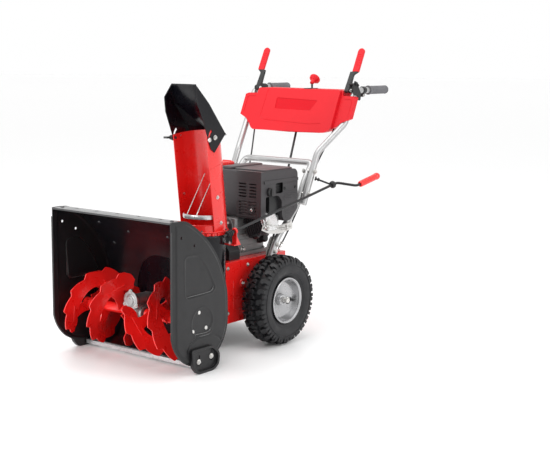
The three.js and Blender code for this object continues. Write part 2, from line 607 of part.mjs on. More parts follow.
// Deflector hood: folded from sheet. Points are half width, Y and Z.
const HOOD = {
  top: [56, 272, 961], lip: [72, 252, 915], front: [83, 269, 865], fold: [83, 309, 898],
  low: [83, 322, 738], heel: [83, 338, 727], rear: [83, 397, 790], skirt: [30, 464, 779],
};
function deflectorHood() {
  const at = ([half, y, z], side) => v3(CHUTE.x + side * half, y, z);
  const facet = (points, inward) => {
    const normal = new THREE.Plane().setFromCoplanarPoints(...points.slice(0, 3)).normal;
    if (normal.dot(inward) < 0) normal.negate();
    return new ConvexGeometry([-0.3, 2.1].flatMap((depth) =>
      points.map((p) => p.clone().addScaledVector(normal, depth))));
  };
  const parts = [];
  for (const side of [1, -1]) {
    const p = (name) => at(HOOD[name], side);
    const inward = v3(-side, 0, 0);
    parts.push(facet([p('front'), p('fold'), p('rear'), p('heel'), p('low')], inward));
    parts.push(facet([p('top'), p('lip'), p('front')], inward));
    parts.push(facet([p('top'), p('front'), p('fold')], inward));
    parts.push(facet([p('fold'), p('rear'), p('skirt')], v3(-side, -1, 0)));
  }
  const pair = (a, b) => [at(HOOD[a], 1), at(HOOD[a], -1), at(HOOD[b], 1), at(HOOD[b], -1)];
  const middle = ['fold', 'skirt'];
  parts.push(facet(pair('top', 'fold'), v3(0, -1, -1)), facet(pair(...middle), v3(0, -1, -1)));
  const lock = v3(0, HOOD_LOCK.y - HOOD_PIVOT.y, HOOD_LOCK.z - HOOD_PIVOT.z);
  const reach = lock.length();
  const startAngle = THREE.MathUtils.radToDeg(Math.atan2(lock.z, lock.y)) + 360;
  const { y, z } = HOOD_PIVOT;
  const [first, last] = [startAngle + 9, startAngle - HOOD_TRAVEL - 9];
  const slot = arc(y, z, reach + 4.7, first, last, 10).concat(arc(y, z, reach - 4.7, last, first, 10));
  const cutters = [prismX(slot, CHUTE.x - 100, CHUTE.x + 100),
    rod(v3(CHUTE.x - 100, y, z), v3(CHUTE.x + 100, y, z), 4.4, 10)];
  return cut(join(...parts), ...cutters);
}
add('deflector', deflectorHood(), BLACK);

// Wing knob on the operator's right of the chute, on the bolt that runs in the hood's slot.
function wingKnob() {
  const foot = v3(CHUTE.x - 83.4, HOOD_LOCK.y, HOOD_LOCK.z);
  const hub = turned([[0, 0], [11, 0], [9, 14], [0, 16]], foot, v3(-1, 0, 0), 16);
  const wing = block(foot.x - 30, foot.x - 9, foot.y - 22, foot.y + 22, foot.z - 4, foot.z + 4);
  const round = block(foot.x - 31, foot.x - 18, foot.y - 8, foot.y + 8, foot.z - 6, foot.z + 6);
  const stud = rod(v3(foot.x - 1, foot.y, foot.z), v3(foot.x + 12, foot.y, foot.z), 3.9, 10);
  return join(hub, cut(wing, round), stud);
}
add('deflector_knob', wingKnob(), BLACK);

// ---------------------------------------------------------------- chute crank
const wormPoint = v3(WORM.x, WORM.y, WORM.z);
const eyePoint = v3(EYE.x, EYE.y, EYE.z);
const crankDirection = eyePoint.clone().sub(wormPoint).normalize();
const crankEnd = eyePoint.clone().addScaledVector(crankDirection, 24);
const crankSide = X_AXIS.clone().addScaledVector(crankDirection, -crankDirection.x).normalize();

// The rod, the worm at its lower end, and the arm at its upper end, bent from one bar.
function crankRod() {
  const start = wormPoint.clone().addScaledVector(crankDirection, -32);
  const armEnd = crankEnd.clone().addScaledVector(crankSide, CRANK_ARM);
  const pinEnd = armEnd.clone().addScaledVector(crankDirection, 120);
  const bar = bentBar([start, crankEnd, armEnd, pinEnd], 5, 16, 6);
  const wormProfile = [[0, 0], [13, 4], [9, 8], [13, 12], [9, 16], [13, 20], [9, 24], [13, 28], [0, 32]];
  const wormFoot = wormPoint.clone().addScaledVector(crankDirection, -16);
  const worm = turned(wormProfile, wormFoot, crankDirection, 12);
  return join(bar, worm);
}
add('crank_rod', crankRod(), BLACK);

const gripStart = crankEnd.clone().addScaledVector(crankSide, CRANK_ARM).addScaledVector(crankDirection, 18);
const gripProfile = [[5.8, 0], [10, 0], [12, 6], [12, 92], [14, 100], [12, 110], [0, 110], [0, 104],
  [5.8, 104], [5.8, 0]];
add('crank_grip', turned(gripProfile, gripStart, crankDirection, 12), RED);

// Eyebolt: a loop round the rod, on a stem from the handle tube.
function eyeBolt() {
  const loop = ring(eyePoint, crankDirection, 5.6, 11, -5, 5, 16);
  const stem = rod(v3(216, 893, 592), v3(EYE.x - 8, EYE.y - 4, EYE.z + 1), 4, 8);
  const pad = rod(v3(212.5, 890, 594), v3(219, 894, 592), 8, 8);
  return cut(join(loop, stem, pad), rod(eyePoint.clone().addScaledVector(crankDirection, -20),
    eyePoint.clone().addScaledVector(crankDirection, 20), 5.6, 12));
}
add('crank_eyebolt', eyeBolt(), STEEL);

// Bracket that carries the worm beside the chute ring, standing on the drum.
function wormBracket() {
  const post = block(186, 214, 404, 440, 392, 398);
  const web = block(164, 190, 404, 428, 392, 396);
  const collarAt = wormPoint.clone().addScaledVector(crankDirection, 22);
  const collar = ring(collarAt, crankDirection, 5.6, 12, 0, 8, 14);
  const strut = block(collarAt.x - 10, collarAt.x + 10, collarAt.y + 2, collarAt.y + 6, 394, collarAt.z - 6);
  const bore = rod(collarAt.clone().addScaledVector(crankDirection, -9),
    collarAt.clone().addScaledVector(crankDirection, 20), 5.6, 14);
  const outlet = rod(v3(CHUTE.x, CHUTE.y, 300), v3(CHUTE.x, CHUTE.y, 428), 78 + GAP, 32);
  return cut(join(post, web, collar, strut), bore, outlet);
}
add('worm_bracket', wormBracket(), RED);

// ---------------------------------------------------------------- handles
const LOWER_TUBE_X = 169;
const lowerSide = (side) => [[672, 308], [706, 372], [832, 491], [886, 591], [934, 648]]
  .map(([y, z]) => v3(side * LOWER_TUBE_X, y, z));
add('handle_frame', bentBar([...lowerSide(-1), ...lowerSide(1).reverse()], TUBE_R, 26), STEEL);

const upperTubePath = (side) => [[197, 838, 496], [197, 925, 690], [245, 1040, 800], [HANDLE_X, 1092, 912],
  [HANDLE_X, 1128, GRIP.z], [HANDLE_X, GRIP.end - 8, GRIP.z]].map(([x, y, z]) => v3(side * x, y, z));
const upperTube = (side, r) => bentBar(upperTubePath(side), r, 16);

for (const [name, side] of SIDES) {
  add(`handle_tube_${name}`, upperTube(side, TUBE_R), STEEL);
  const bore = TUBE_R + RUN;
  const profile = [[bore, 0], [15, 0], [GRIP.radius, 3], [GRIP.radius, 128], [13, 131], [0, 131],
    [0, 125], [bore, 125], [bore, 0]];
  add(`grip_${name}`, turned(profile, v3(side * HANDLE_X, GRIP.start, GRIP.z), Y_AXIS, 14), GRIP_GREY);
}

// Bowden cables run from the levers, through the panel's floor, down to the frame.
const cablePath = (side) => new THREE.CatmullRomCurve3(
  [[205, 1088, 905], [203, 1060, 840], [197, 1030, 770], [162, 951, 615], [140, 850, 430], [128, 776, 322]]
    .map(([x, y, z]) => v3(side * x, y, z))).getSpacedPoints(16);
for (const [name, side] of SIDES) add(`clutch_cable_${name}`, sweptRound(cablePath(side), 3, 6), RUBBER);

const ROD_TOP = v3(11, 1044.5, 780); // ends of the shift rod, at the lever and above the frame
const ROD_LOW = v3(87, 783, 332);

// ---------------------------------------------------------------- control panel
// A shell, open at the back, whose face leans back. Its outline is drawn in X and Z.
const FACE = { y: 1027, z: 813, lean: 0.45 };
const faceY = (z) => FACE.y + FACE.lean * (z - FACE.z);
function controlPanel() {
  const half = [[0, 757], [150, 760], [172, 766], [238, 793], [240, 803], [276, 818], [276, 900], [262, 905],
    [214, 906], [211, 925], [180, 929], [0, 929]];
  const middle = [[0, 757], [150, 760], [172, 766], [214, 783.4], [214, 906], [211, 925], [180, 929],
    [0, 929]];
  const mirrored = (list) => list.concat(list.slice(1, -1).reverse().map(([x, z]) => [-x, z]));
  const [outline, deep] = [mirrored(half), mirrored(middle)];
  const shrink = (list, by) => list.map(([x, z]) =>
    [x - Math.sign(x) * Math.min(by, Math.abs(x)), z > 850 ? z - by : z + by]);
  const lean = columns([1, 0, 0, 0, 1, 0, 0, FACE.lean, 1, 0, -FACE.lean * FACE.z, 0]);
  const leaning = (points, from, to) => solid(prismY(points, FACE.y + from, FACE.y + to)).transform(lean);
  const raised = [[-182, 760], [182, 762], [205, 780], [205, 928], [-205, 928], [-205, 780]];
  const wings = 20; // depth of the panel's outer ends
  const shell = cut(join(leaning(outline, 0, wings), leaning(deep, 0, 60), leaning(raised, -14, 5)),
    leaning(shrink(outline, SHEET), SHEET, wings + 1), leaning(shrink(deep, SHEET), SHEET, 61),
    leaning(shrink(raised, SHEET), -14 + SHEET, 6));
  const shiftSlot = block(SHIFT.x - 9, SHIFT.x + 9, 1080, 1136, 915, 935);
  const tubes = SIDES.map(([, side]) => upperTube(side, TUBE_R + 1.2));
  const cables = SIDES.map(([, side]) => sweptRound(cablePath(side).slice(2, 8), 6, 6));
  const rodHole = rod(ROD_LOW, ROD_TOP, 9, 8);
  return cut(shell, shiftSlot, rodHole, ...tubes, ...cables);
}
add('control_panel', controlPanel(), PANEL_RED);

// ---------------------------------------------------------------- clutch levers
const LEVER_ANGLE = THREE.MathUtils.degToRad(64);

// A dead man lever: a narrow arm with a pivot pin, and a wide flat blade with a round end.
function clutchLever(side) {
  const { x, bladeX, pivotY, pivotZ, length } = LEVER;
  const arm = prismX([...arc(0, 0, 10, 120, 240, 4), [92, -6], [92, 6]], x - 14, x + 6);
  const blade = prismY(roundedRectangle(bladeX - 13, bladeX + 13, 78, length, 12.5), -5, 5, 5);
  blade.rotateX(-Math.PI / 2);
  const pin = rod(v3(x - 8, 0, 0), v3(x + 12, 0, 0), 4, 10);
  const lever = join(arm, blade, pin).rotate([THREE.MathUtils.radToDeg(LEVER_ANGLE), 0, 0])
    .translate([0, pivotY, pivotZ]);
  return side > 0 ? lever : lever.mirror([1, 0, 0]);
}

// The bracket: a thin plate from the lever's pivot to a clamp on the handle tube.
function leverBracket(side) {
  const { pivotY, pivotZ } = LEVER;
  const clamp = ring(v3(HANDLE_X, 1146, GRIP.z), Y_AXIS, TUBE_R + GAP, 15.4, 0, 18, 14);
  const outline = [...arc(pivotY, pivotZ, 11, 110, 250, 4), [1164, GRIP.z - 9], [1164, GRIP.z + 9]];
  const plate = prismX(outline, LEVER.x + 6.6, LEVER.x + 9.2);
  const hole = rod(v3(LEVER.x, pivotY, pivotZ), v3(LEVER.x + 20, pivotY, pivotZ), 4.3, 10);
  const clear = rod(v3(HANDLE_X, 1100, GRIP.z), v3(HANDLE_X, 1170, GRIP.z), TUBE_R + GAP, 20);
  const bracket = cut(join(clamp, plate), hole, clear);
  return side > 0 ? bracket : bracket.mirror([1, 0, 0]);
}
for (const [name, side] of SIDES) {
  add(`clutch_lever_${name}`, clutchLever(side), PANEL_RED);
  add(`lever_bracket_${name}`, leverBracket(side), BLACK);
}

// ---------------------------------------------------------------- gear shift
function shiftLever() {
  const { x, pivotY, pivotZ, knobZ } = SHIFT;
  const stalk = rod(v3(x, pivotY, pivotZ), v3(x, pivotY, knobZ + 2), 4, 10);
  const barrel = rod(v3(x - 10, pivotY, pivotZ), v3(x + 10, pivotY, pivotZ), 10, 14);
  const knob = turned([[0, 0], [8, 0], [9, 11], [22, 27], [22, 31], [16, 37], [0, 39]],
    v3(x, pivotY - 4, knobZ), v3(0, 0.78, 0.62), 16);
  const arm = prismX([[pivotY, pivotZ + 7], [pivotY, pivotZ - 7], [1046, 782], [1042, 790]], x - 8, x - 2);
  const tab = block(ROD_TOP.x + 8, x - 3, 1040, 1052, 782, 790);
  return join(stalk, barrel, knob, arm, tab);
}
add('shift_lever', shiftLever(), PANEL_RED);
add('shift_rod', rod(ROD_LOW, ROD_TOP, 4.5, 10), BLACK);

// ---------------------------------------------------------------- place
const box = new THREE.Box3().setFromObject(group);
const centre = box.getCenter(v3(0, 0, 0));
group.position.set(-centre.x, -centre.y, -box.min.z);

export default group;
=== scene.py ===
import math

import bpy
import bmesh
import numpy as np
from mathutils import Matrix, Vector
from mathutils.geometry import delaunay_2d_cdt


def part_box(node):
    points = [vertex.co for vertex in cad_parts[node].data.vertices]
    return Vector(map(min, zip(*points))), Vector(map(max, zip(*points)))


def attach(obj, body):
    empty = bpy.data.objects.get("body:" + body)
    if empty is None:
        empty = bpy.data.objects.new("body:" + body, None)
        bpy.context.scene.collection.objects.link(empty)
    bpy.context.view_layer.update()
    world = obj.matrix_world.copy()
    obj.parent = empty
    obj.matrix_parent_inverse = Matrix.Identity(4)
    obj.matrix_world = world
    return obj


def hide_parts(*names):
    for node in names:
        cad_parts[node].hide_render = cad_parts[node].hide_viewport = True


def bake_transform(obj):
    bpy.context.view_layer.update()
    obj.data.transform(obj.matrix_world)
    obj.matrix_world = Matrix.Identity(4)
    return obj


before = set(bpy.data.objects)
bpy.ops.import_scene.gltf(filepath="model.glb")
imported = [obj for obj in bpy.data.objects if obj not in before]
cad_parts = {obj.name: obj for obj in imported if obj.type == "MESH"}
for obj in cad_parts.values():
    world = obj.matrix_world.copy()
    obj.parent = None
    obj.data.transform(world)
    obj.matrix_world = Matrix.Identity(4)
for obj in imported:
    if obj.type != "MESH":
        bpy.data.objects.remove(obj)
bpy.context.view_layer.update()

# Shapes are drawn in millimetres in the machine's own frame: X = 0 is its middle plane, Y = 0 the
# front edge of the intake, Z = 0 the ground. place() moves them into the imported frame, in metres.
MM = 0.001
SHELL_LOW, SHELL_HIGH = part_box("housing_shell")
MIDDLE_X = (SHELL_LOW[0] + SHELL_HIGH[0]) / 2
FRONT_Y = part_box("side_plate_left")[0][1]


def place(x, y, z):
    return Vector((MIDDLE_X + x * MM, FRONT_Y + y * MM, z * MM))


def node_box(name):
    """A CAD node's lowest and highest corners in the machine's frame, in millimetres."""
    low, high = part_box(name)
    shift = Vector((MIDDLE_X, FRONT_Y, 0))
    return (Vector(low) - shift) / MM, (Vector(high) - shift) / MM


X_AXIS, Y_AXIS, Z_AXIS = Vector((1, 0, 0)), Vector((0, 1, 0)), Vector((0, 0, 1))
SIDES = (("left", 1), ("right", -1))


# ---------------------------------------------------------------- camera, floor and light
CAMERA_AT = (2750, -2649, 1074)
CAMERA_AZIMUTH, CAMERA_ELEVATION, CAMERA_ROLL = 37.64, 8.67, 0.58
CAMERA_LENS = 74.28


def make_camera():
    azimuth, elevation = math.radians(CAMERA_AZIMUTH), math.radians(CAMERA_ELEVATION)
    back = Vector((math.sin(azimuth) * math.cos(elevation), -math.cos(azimuth) * math.cos(elevation),
                   math.sin(elevation)))
    right = Vector((math.cos(azimuth), math.sin(azimuth), 0))
    up = back.cross(right)
    roll = Matrix.Rotation(math.radians(CAMERA_ROLL), 4, "Z")
    turn = Matrix((right, up, back)).transposed().to_4x4() @ roll
    data = bpy.data.cameras.new("camera")
    data.lens = CAMERA_LENS
    data.sensor_width = 36
    data.clip_end = 50
    camera = bpy.data.objects.new("camera", data)
    camera.matrix_world = Matrix.Translation(place(*CAMERA_AT)) @ turn
    bpy.context.scene.collection.objects.link(camera)
    bpy.context.scene.camera = camera


def area_light(name, at, size, power, target=(0, 500, 350)):
    data = bpy.data.lights.new(name, "AREA")
    data.shape = "RECTANGLE"
    data.size, data.size_y = size
    data.energy = power
    light = bpy.data.objects.new(name, data)
    light.location = place(*at)
    light.rotation_euler = (place(*target) - light.location).to_track_quat("-Z", "Y").to_euler()
    bpy.context.scene.collection.objects.link(light)


def make_studio():
    world = bpy.data.worlds.new("studio")
    bpy.context.scene.world = world
    world.use_nodes = True
    background = world.node_tree.nodes["Background"]
    background.inputs["Color"].default_value = (1.0, 1.0, 1.0, 1)
    background.inputs["Strength"].default_value = 1.0
    area_light("overhead", (-300, 200, 3200), (2.6, 2.6), 40)
    area_light("front", (-700, -2600, 900), (1.6, 1.2), 42, (-60, 120, 200))
    area_light("right_side", (3000, 900, 1900), (0.3, 2.2), 18)
    mesh = bpy.data.meshes.new("floor")
    half = 60.0
    mesh.from_pydata([(-half, -half, 0), (half, -half, 0), (half, half, 0), (-half, half, 0)], [],
                     [(0, 1, 2, 3)])
    floor = bpy.data.objects.new("floor", mesh)
    bpy.context.scene.collection.objects.link(floor)
    material = bpy.data.materials.new("floor")
    material.use_nodes = True
    shader = material.node_tree.nodes["Principled BSDF"]
    shader.inputs["Base Color"].default_value = (0.99, 0.99, 0.99, 1)
    shader.inputs["Roughness"].default_value = 0.32
    shader.inputs["Specular IOR Level"].default_value = 0.2
    mesh.materials.append(material)


make_camera()
make_studio()
bpy.context.scene.view_settings.view_transform = "Standard"


# ---------------------------------------------------------------- materials
def material(name, color, roughness, metallic=0.0, mottle=0.06, mottle_scale=14.0, rough_spread=0.06,
             bumps=((420.0, 0.00008),), stretch=(1, 1, 1), coat=0.0, coat_roughness=0.1,
             specular=0.5, dust=0.0, spangle=0.0):
    """A finish that varies over the surface: broad mottling of the colour, a changing roughness, bumps
    given as (scale per metre, height in metres), dust on what faces up, and zinc spangle."""
    made = bpy.data.materials.new(name)
    made.use_nodes = True
    tree = made.node_tree
    nodes, links = tree.nodes, tree.links
    shader = nodes["Principled BSDF"]
    shader.inputs["Metallic"].default_value = metallic
    shader.inputs["Specular IOR Level"].default_value = specular
    shader.inputs["Coat Weight"].default_value = coat
    shader.inputs["Coat Roughness"].default_value = coat_roughness
    coordinates = nodes.new("ShaderNodeTexCoord")
    mapping = nodes.new("ShaderNodeMapping")
    mapping.inputs["Scale"].default_value = stretch
    links.new(coordinates.outputs["Object"], mapping.inputs["Vector"])

    def noise(scale, detail=3.0):
        node = nodes.new("ShaderNodeTexNoise")
        node.inputs["Scale"].default_value = scale
        node.inputs["Detail"].default_value = detail
        links.new(mapping.outputs["Vector"], node.inputs["Vector"])
        return node.outputs["Fac"]

    def spread(value, low, high):
        node = nodes.new("ShaderNodeMapRange")
        node.inputs["From Min"].default_value = 0.3
        node.inputs["From Max"].default_value = 0.7
        node.inputs["To Min"].default_value = low
        node.inputs["To Max"].default_value = high
        links.new(value, node.inputs["Value"])
        return node.outputs["Result"]

    def mixed(share, first, second):
        node = nodes.new("ShaderNodeMix")
        node.data_type = "RGBA"
        links.new(share, node.inputs["Factor"])
        for socket, value in (("A", first), ("B", second)):
            target = [s for s in node.inputs if s.name == socket and s.type == "RGBA"][0]
            if isinstance(value, tuple):
                target.default_value = (*value, 1)
            else:
                links.new(value, target)
        return [s for s in node.outputs if s.type == "RGBA"][0]

    dark = tuple(c * (1 - mottle) for c in color)
    light = tuple(min(1, c * (1 + mottle)) for c in color)
    tint = mixed(spread(noise(mottle_scale, 5.0), 0, 1), dark, light)
    if spangle:
        cells = nodes.new("ShaderNodeTexVoronoi")
        cells.inputs["Scale"].default_value = 160
        links.new(mapping.outputs["Vector"], cells.inputs["Vector"])
        grey = nodes.new("ShaderNodeRGBToBW")
        links.new(cells.outputs["Color"], grey.inputs["Color"])
        share = spread(grey.outputs["Val"], 0, spangle)
        tint = mixed(share, tint, tuple(min(1, c * 1.35) for c in color))
    if dust:
        geometry = nodes.new("ShaderNodeNewGeometry")
        split = nodes.new("ShaderNodeSeparateXYZ")
        links.new(geometry.outputs["Normal"], split.inputs["Vector"])
        upward = nodes.new("ShaderNodeMapRange")
        upward.inputs["From Min"].default_value = 0.2
        upward.inputs["To Max"].default_value = dust
        links.new(split.outputs["Z"], upward.inputs["Value"])
        broken = nodes.new("ShaderNodeMath")
        broken.operation = "MULTIPLY"
        links.new(upward.outputs["Result"], broken.inputs[0])
        links.new(noise(60, 6.0), broken.inputs[1])
        tint = mixed(broken.outputs["Value"], tint, (0.52, 0.50, 0.47))
    links.new(tint, shader.inputs["Base Color"])
    varied = spread(noise(30.0, 4.0), max(0.02, roughness - rough_spread), roughness + rough_spread)
    links.new(varied, shader.inputs["Roughness"])
    normal = None
    for scale, height in bumps:
        bump = nodes.new("ShaderNodeBump")
        bump.inputs["Strength"].default_value = 1.0
        bump.inputs["Distance"].default_value = height
        links.new(noise(scale, 2.0), bump.inputs["Height"])
        if normal is not None:
            links.new(normal, bump.inputs["Normal"])
        normal = bump.outputs["Normal"]
    links.new(normal, shader.inputs["Normal"])
    return made


RED = material("red_paint", (0.80, 0.012, 0.010), 0.30, mottle=0.05,
               bumps=((260.0, 0.000025), (1400.0, 0.00002)),
               coat=0.6, coat_roughness=0.12)
POWDER = material("black_powder_coat", (0.010, 0.010, 0.011), 0.38, mottle=0.10, rough_spread=0.08,
                  bumps=((1100.0, 0.00006), (240.0, 0.00008)), specular=0.4)
# Ledge beads: a lighter, glossier, part metallic copy of the black powder coat. This is a painted highlight
# along the pressed ledges, which are real.
LEDGE_HIGHLIGHT_BLACK = material("ledge_painted_highlight", (0.03, 0.03, 0.031), 0.16, metallic=0.3,
                       bumps=((300.0, 0.00002),),
                       specular=0.9, coat=1.0, coat_roughness=0.06)
HOOD_BLACK = material("hood_paint", (0.003, 0.003, 0.005), 0.24, mottle=0.10, bumps=((900.0, 0.00003),),
                      specular=0.16, coat=0.25, coat_roughness=0.12)
GLOSS_BLACK = material("housing_paint", (0.004, 0.004, 0.006), 0.34, mottle=0.12,
                       bumps=((300.0, 0.000008),),
                       coat=0.8, coat_roughness=0.22, specular=0.5)
PANEL_RED = material("panel_red", (0.66, 0.008, 0.016), 0.46, mottle=0.03, rough_spread=0.05,
                     bumps=((1800.0, 0.00003),), specular=0.3)
LABEL_RED = material("label_red", (0.60, 0.002, 0.010), 0.34, mottle=0.02, bumps=((1800.0, 0.00001),),
                     specular=0.2)
ENGINE_BLACK = material("engine_black", (0.034, 0.031, 0.034), 0.42, mottle=0.08,
                        bumps=((1500.0, 0.00007), (500.0, 0.00004)), specular=0.5, dust=0.06)
BLACK_PLASTIC = material("black_plastic", (0.012, 0.012, 0.013), 0.42, bumps=((1500.0, 0.00005),))
CABLE = material("cable_rubber", (0.012, 0.012, 0.014), 0.5, bumps=((900.0, 0.00006),))
GRIP = material("grip_rubber", (0.15, 0.15, 0.16), 0.75, mottle=0.10, bumps=((1300.0, 0.00010),))
TYRE = material("tyre_rubber", (0.006, 0.006, 0.008), 0.52, mottle=0.22, mottle_scale=40, rough_spread=0.10,
                bumps=((900.0, 0.00010), (220.0, 0.00012)), dust=0.05, specular=0.5)
RIM = material("rim_silver", (0.46, 0.46, 0.47), 0.28, metallic=0.75, mottle=0.04,
               bumps=((900.0, 0.00003),))
ZINC = material("zinc", (0.66, 0.65, 0.63), 0.28, metallic=1.0, mottle=0.10, rough_spread=0.10,
                bumps=((700.0, 0.00004),))
GALVANISED = material("galvanised", (0.62, 0.63, 0.64), 0.34, metallic=0.9, spangle=0.3,
                      bumps=((300.0, 0.00003),))
TUBE = material("tube_steel", (0.46, 0.46, 0.46), 0.36, metallic=0.80, mottle=0.05, stretch=(3, 1, 1),
                bumps=((500.0, 0.00002),))
CAST = material("cast_aluminium", (0.24, 0.24, 0.24), 0.48, metallic=0.8, mottle=0.12, rough_spread=0.12,
                bumps=((700.0, 0.00022), (180.0, 0.00015)))
POLISHED = material("polished_cover", (0.36, 0.36, 0.36), 0.32, metallic=1.0, mottle=0.04,
                    bumps=((300.0, 0.00004),))
CHROME = material("valve_cover_chrome", (0.80, 0.80, 0.80), 0.24, metallic=0.9, mottle=0.04,
                  bumps=((300.0, 0.00002),))
IRON = material("dark_iron", (0.10, 0.10, 0.105), 0.45, metallic=0.8, mottle=0.15,
                bumps=((600.0, 0.00012),))


# ---------------------------------------------------------------- mesh tools
class Shape:
    """Points in millimetres, and faces that index them."""

    def __init__(self, points=(), faces=()):
        self.points = [Vector(p) for p in points]
        self.faces = [tuple(f) for f in faces]

    def __add__(self, other):
        shift = len(self.points)
        return Shape(self.points + other.points,
                     self.faces + [tuple(i + shift for i in f) for f in other.faces])

    def moved(self, matrix):
        return Shape([matrix @ p for p in self.points], self.faces)

    def mirrored(self, side):
        """The same shape on the other side of the middle plane, where side is -1."""
        if side > 0:
            return self
        return Shape([Vector((-p.x, p.y, p.z)) for p in self.points], [f[::-1] for f in self.faces])


def joined(shapes):
    total = Shape()
    for shape in shapes:
        total = total + shape
    return total


def basis_along(direction):
    """Two unit vectors square to direction and to each other."""
    direction = direction.normalized()
    helper = Z_AXIS if abs(direction.z) < 0.9 else X_AXIS
    first = helper.cross(direction).normalized()
    return first, direction.cross(first)


def lathe(profile, at, direction, sides=48, start=0.0):
    """A turned solid: profile is [radius, distance along direction] points. It is closed, either by
    ending on the axis or by running back to its first point."""
    at, direction = Vector(at), Vector(direction).normalized()
    first, second = basis_along(direction)
    closed = profile[0][0] > 0
    points, rings = [], []
    for radius, along in profile:
        centre = at + direction * along
        if radius <= 1e-6:
            rings.append([len(points)] * sides)
            points.append(centre)
            continue
        rings.append(list(range(len(points), len(points) + sides)))
        for k in range(sides):
            angle = start + 2 * math.pi * k / sides
            points.append(centre + radius * (math.cos(angle) * first + math.sin(angle) * second))
    pairs = list(zip(rings, rings[1:]))
    if closed:
        pairs.append((rings[-1], rings[0]))
    faces = []
    for low, high in pairs:
        for k in range(sides):
            n = (k + 1) % sides
            face = list(dict.fromkeys((low[k], low[n], high[n], high[k])))
            if len(face) > 2:
                faces.append(tuple(face))
    return Shape(points, faces)


def rod(radius, length, at, direction, sides=48):
    return lathe([(0, 0), (radius, 0), (radius, length), (0, length)], at, direction, sides)


def pipe(inner, outer, length, at, direction, sides=48):
    return lathe([(inner, 0), (outer, 0), (outer, length), (inner, length)], at, direction, sides)


def ring_faces(rings, count):
    """The faces between each ring of count points and the next."""
    return [(i * count + k, i * count + (k + 1) % count, (i + 1) * count + (k + 1) % count,
             (i + 1) * count + k)
            for i in range(rings - 1) for k in range(count)]


def loop_faces(count):
    """The faces of a solid between two loops of count points: both ends, then the sides."""
    ends = [tuple(reversed(range(count))), tuple(range(count, 2 * count))]
    return ends + [(k, (k + 1) % count, count + (k + 1) % count, count + k) for k in range(count)]


def sweep(path, radius, sides=16, section=None, up=None, taper=None):
    """A bar along a path of points. Its section is round, or a list of [u, w] points. taper scales the
    section at each point of the path, and between the points the bar runs straight."""
    path = [Vector(p) for p in path]
    section = section or [(radius * math.cos(2 * math.pi * k / sides),
                           radius * math.sin(2 * math.pi * k / sides))
                          for k in range(sides)]
    count = len(section)
    tangents = []
    for i in range(len(path)):
        before, after = path[max(i - 1, 0)], path[min(i + 1, len(path) - 1)]
        tangents.append((after - before).normalized())
    first = (Vector(up).cross(tangents[0]).normalized() if up else basis_along(tangents[0])[0])
    points = []
    for i, centre in enumerate(path):
        first = (first - tangents[i] * first.dot(tangents[i])).normalized()
        second = tangents[i].cross(first)
        size = taper(i / (len(path) - 1)) if taper else 1.0
        points += [centre + size * (u * first + w * second) for u, w in section]
    ends = [tuple(reversed(range(count))), tuple(range(len(points) - count, len(points)))]
    return Shape(points, ring_faces(len(path), count) + ends)


def prism(outline, axis, low, high):
    """An outline of [u, w] points, extruded along axis from low to high."""
    def at(u, w, h):
        return {"x": (h, u, w), "y": (u, h, w), "z": (u, w, h)}[axis]
    points = [at(u, w, low) for u, w in outline] + [at(u, w, high) for u, w in outline]
    return Shape(points, loop_faces(len(outline)))


def block(x0, x1, y0, y1, z0, z1):
    return prism([(x0, y0), (x1, y0), (x1, y1), (x0, y1)], "z", z0, z1)


def rounded_rectangle(u0, u1, w0, w1, r, steps=6):
    points = []
    for cu, cw, start in ((u1 - r, w0 + r, -90), (u1 - r, w1 - r, 0), (u0 + r, w1 - r, 90),
                          (u0 + r, w0 + r, 180)):
        points += arc(cu, cw, r, start, start + 90, steps)
    return points


def arc(u, w, r, start, end, steps):
    return [(u + r * math.cos(math.radians(start + (end - start) * i / steps)),
             w + r * math.sin(math.radians(start + (end - start) * i / steps))) for i in range(steps + 1)]


def spline(points, steps):
    """A uniform Catmull-Rom curve through the points, with steps points to each stretch."""
    points = [np.array(p, float) for p in points]
    path = []
    for i in range(len(points) - 1):
        p0, p1, p2 = points[max(i - 1, 0)], points[i], points[i + 1]
        p3 = points[min(i + 2, len(points) - 1)]
        v0, v1 = (p2 - p0) / 2, (p3 - p1) / 2
        for k in range(steps):
            t = k / steps
            cubic, square = 2 * p1 - 2 * p2 + v0 + v1, -3 * p1 + 3 * p2 - 2 * v0 - v1
            path.append(tuple(cubic * t ** 3 + square * t ** 2 + v0 * t + p1))
    path.append(tuple(points[-1]))
    return path


def rounded_path(points, bend, steps=8):
    """A line of straight stretches, with each inner corner rounded over bend each way."""
    points = [Vector(p) for p in points]
    path = [points[0]]
    for before, corner, after in zip(points, points[1:], points[2:]):
        start = corner + (before - corner).normalized() * bend
        end = corner + (after - corner).normalized() * bend
        for k in range(steps + 1):
            t = k / steps
            path.append(start * (1 - t) ** 2 + corner * 2 * t * (1 - t) + end * t * t)
    return path + [points[-1]]


BEVEL_FROM = 28  # degrees between two faces, from which their edge is bevelled


def make(name, shape, finish, replaces=(), body="chassis", bevel=0.0, smooth=32.0, segments=2, cutters=(),
         weld=True):
    """The piece of this shape: cut by the cutters, bevelled, smooth but for its sharp edges. It replaces
    the CAD nodes in replaces, and rides body, which for most pieces is the chassis."""
    obj = raw_object(name, shape, weld)
    for cutter in cutters:
        boolean(obj, cutter)
    return finished(obj, name, finish, replaces, body, bevel, smooth, segments)


def finished(obj, name, finish, replaces=(), body="chassis", bevel=0.0, smooth=32.0, segments=2):
    """Turns a mesh into a finished piece that rides its body, unless body is None."""
    obj.name = name
    obj.data.materials.clear()
    obj.data.materials.append(finish)
    if bevel:
        modifier = obj.modifiers.new("bevel", "BEVEL")
        modifier.width = bevel * MM
        modifier.segments = segments
        modifier.limit_method = "ANGLE"
        modifier.angle_limit = math.radians(BEVEL_FROM)
        modifier.harden_normals = True
    obj.data.shade_smooth()
    obj.data.set_sharp_from_angle(angle=math.radians(smooth))
    if body:
        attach(obj, body)
    if replaces:
        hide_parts(*replaces)
    return obj


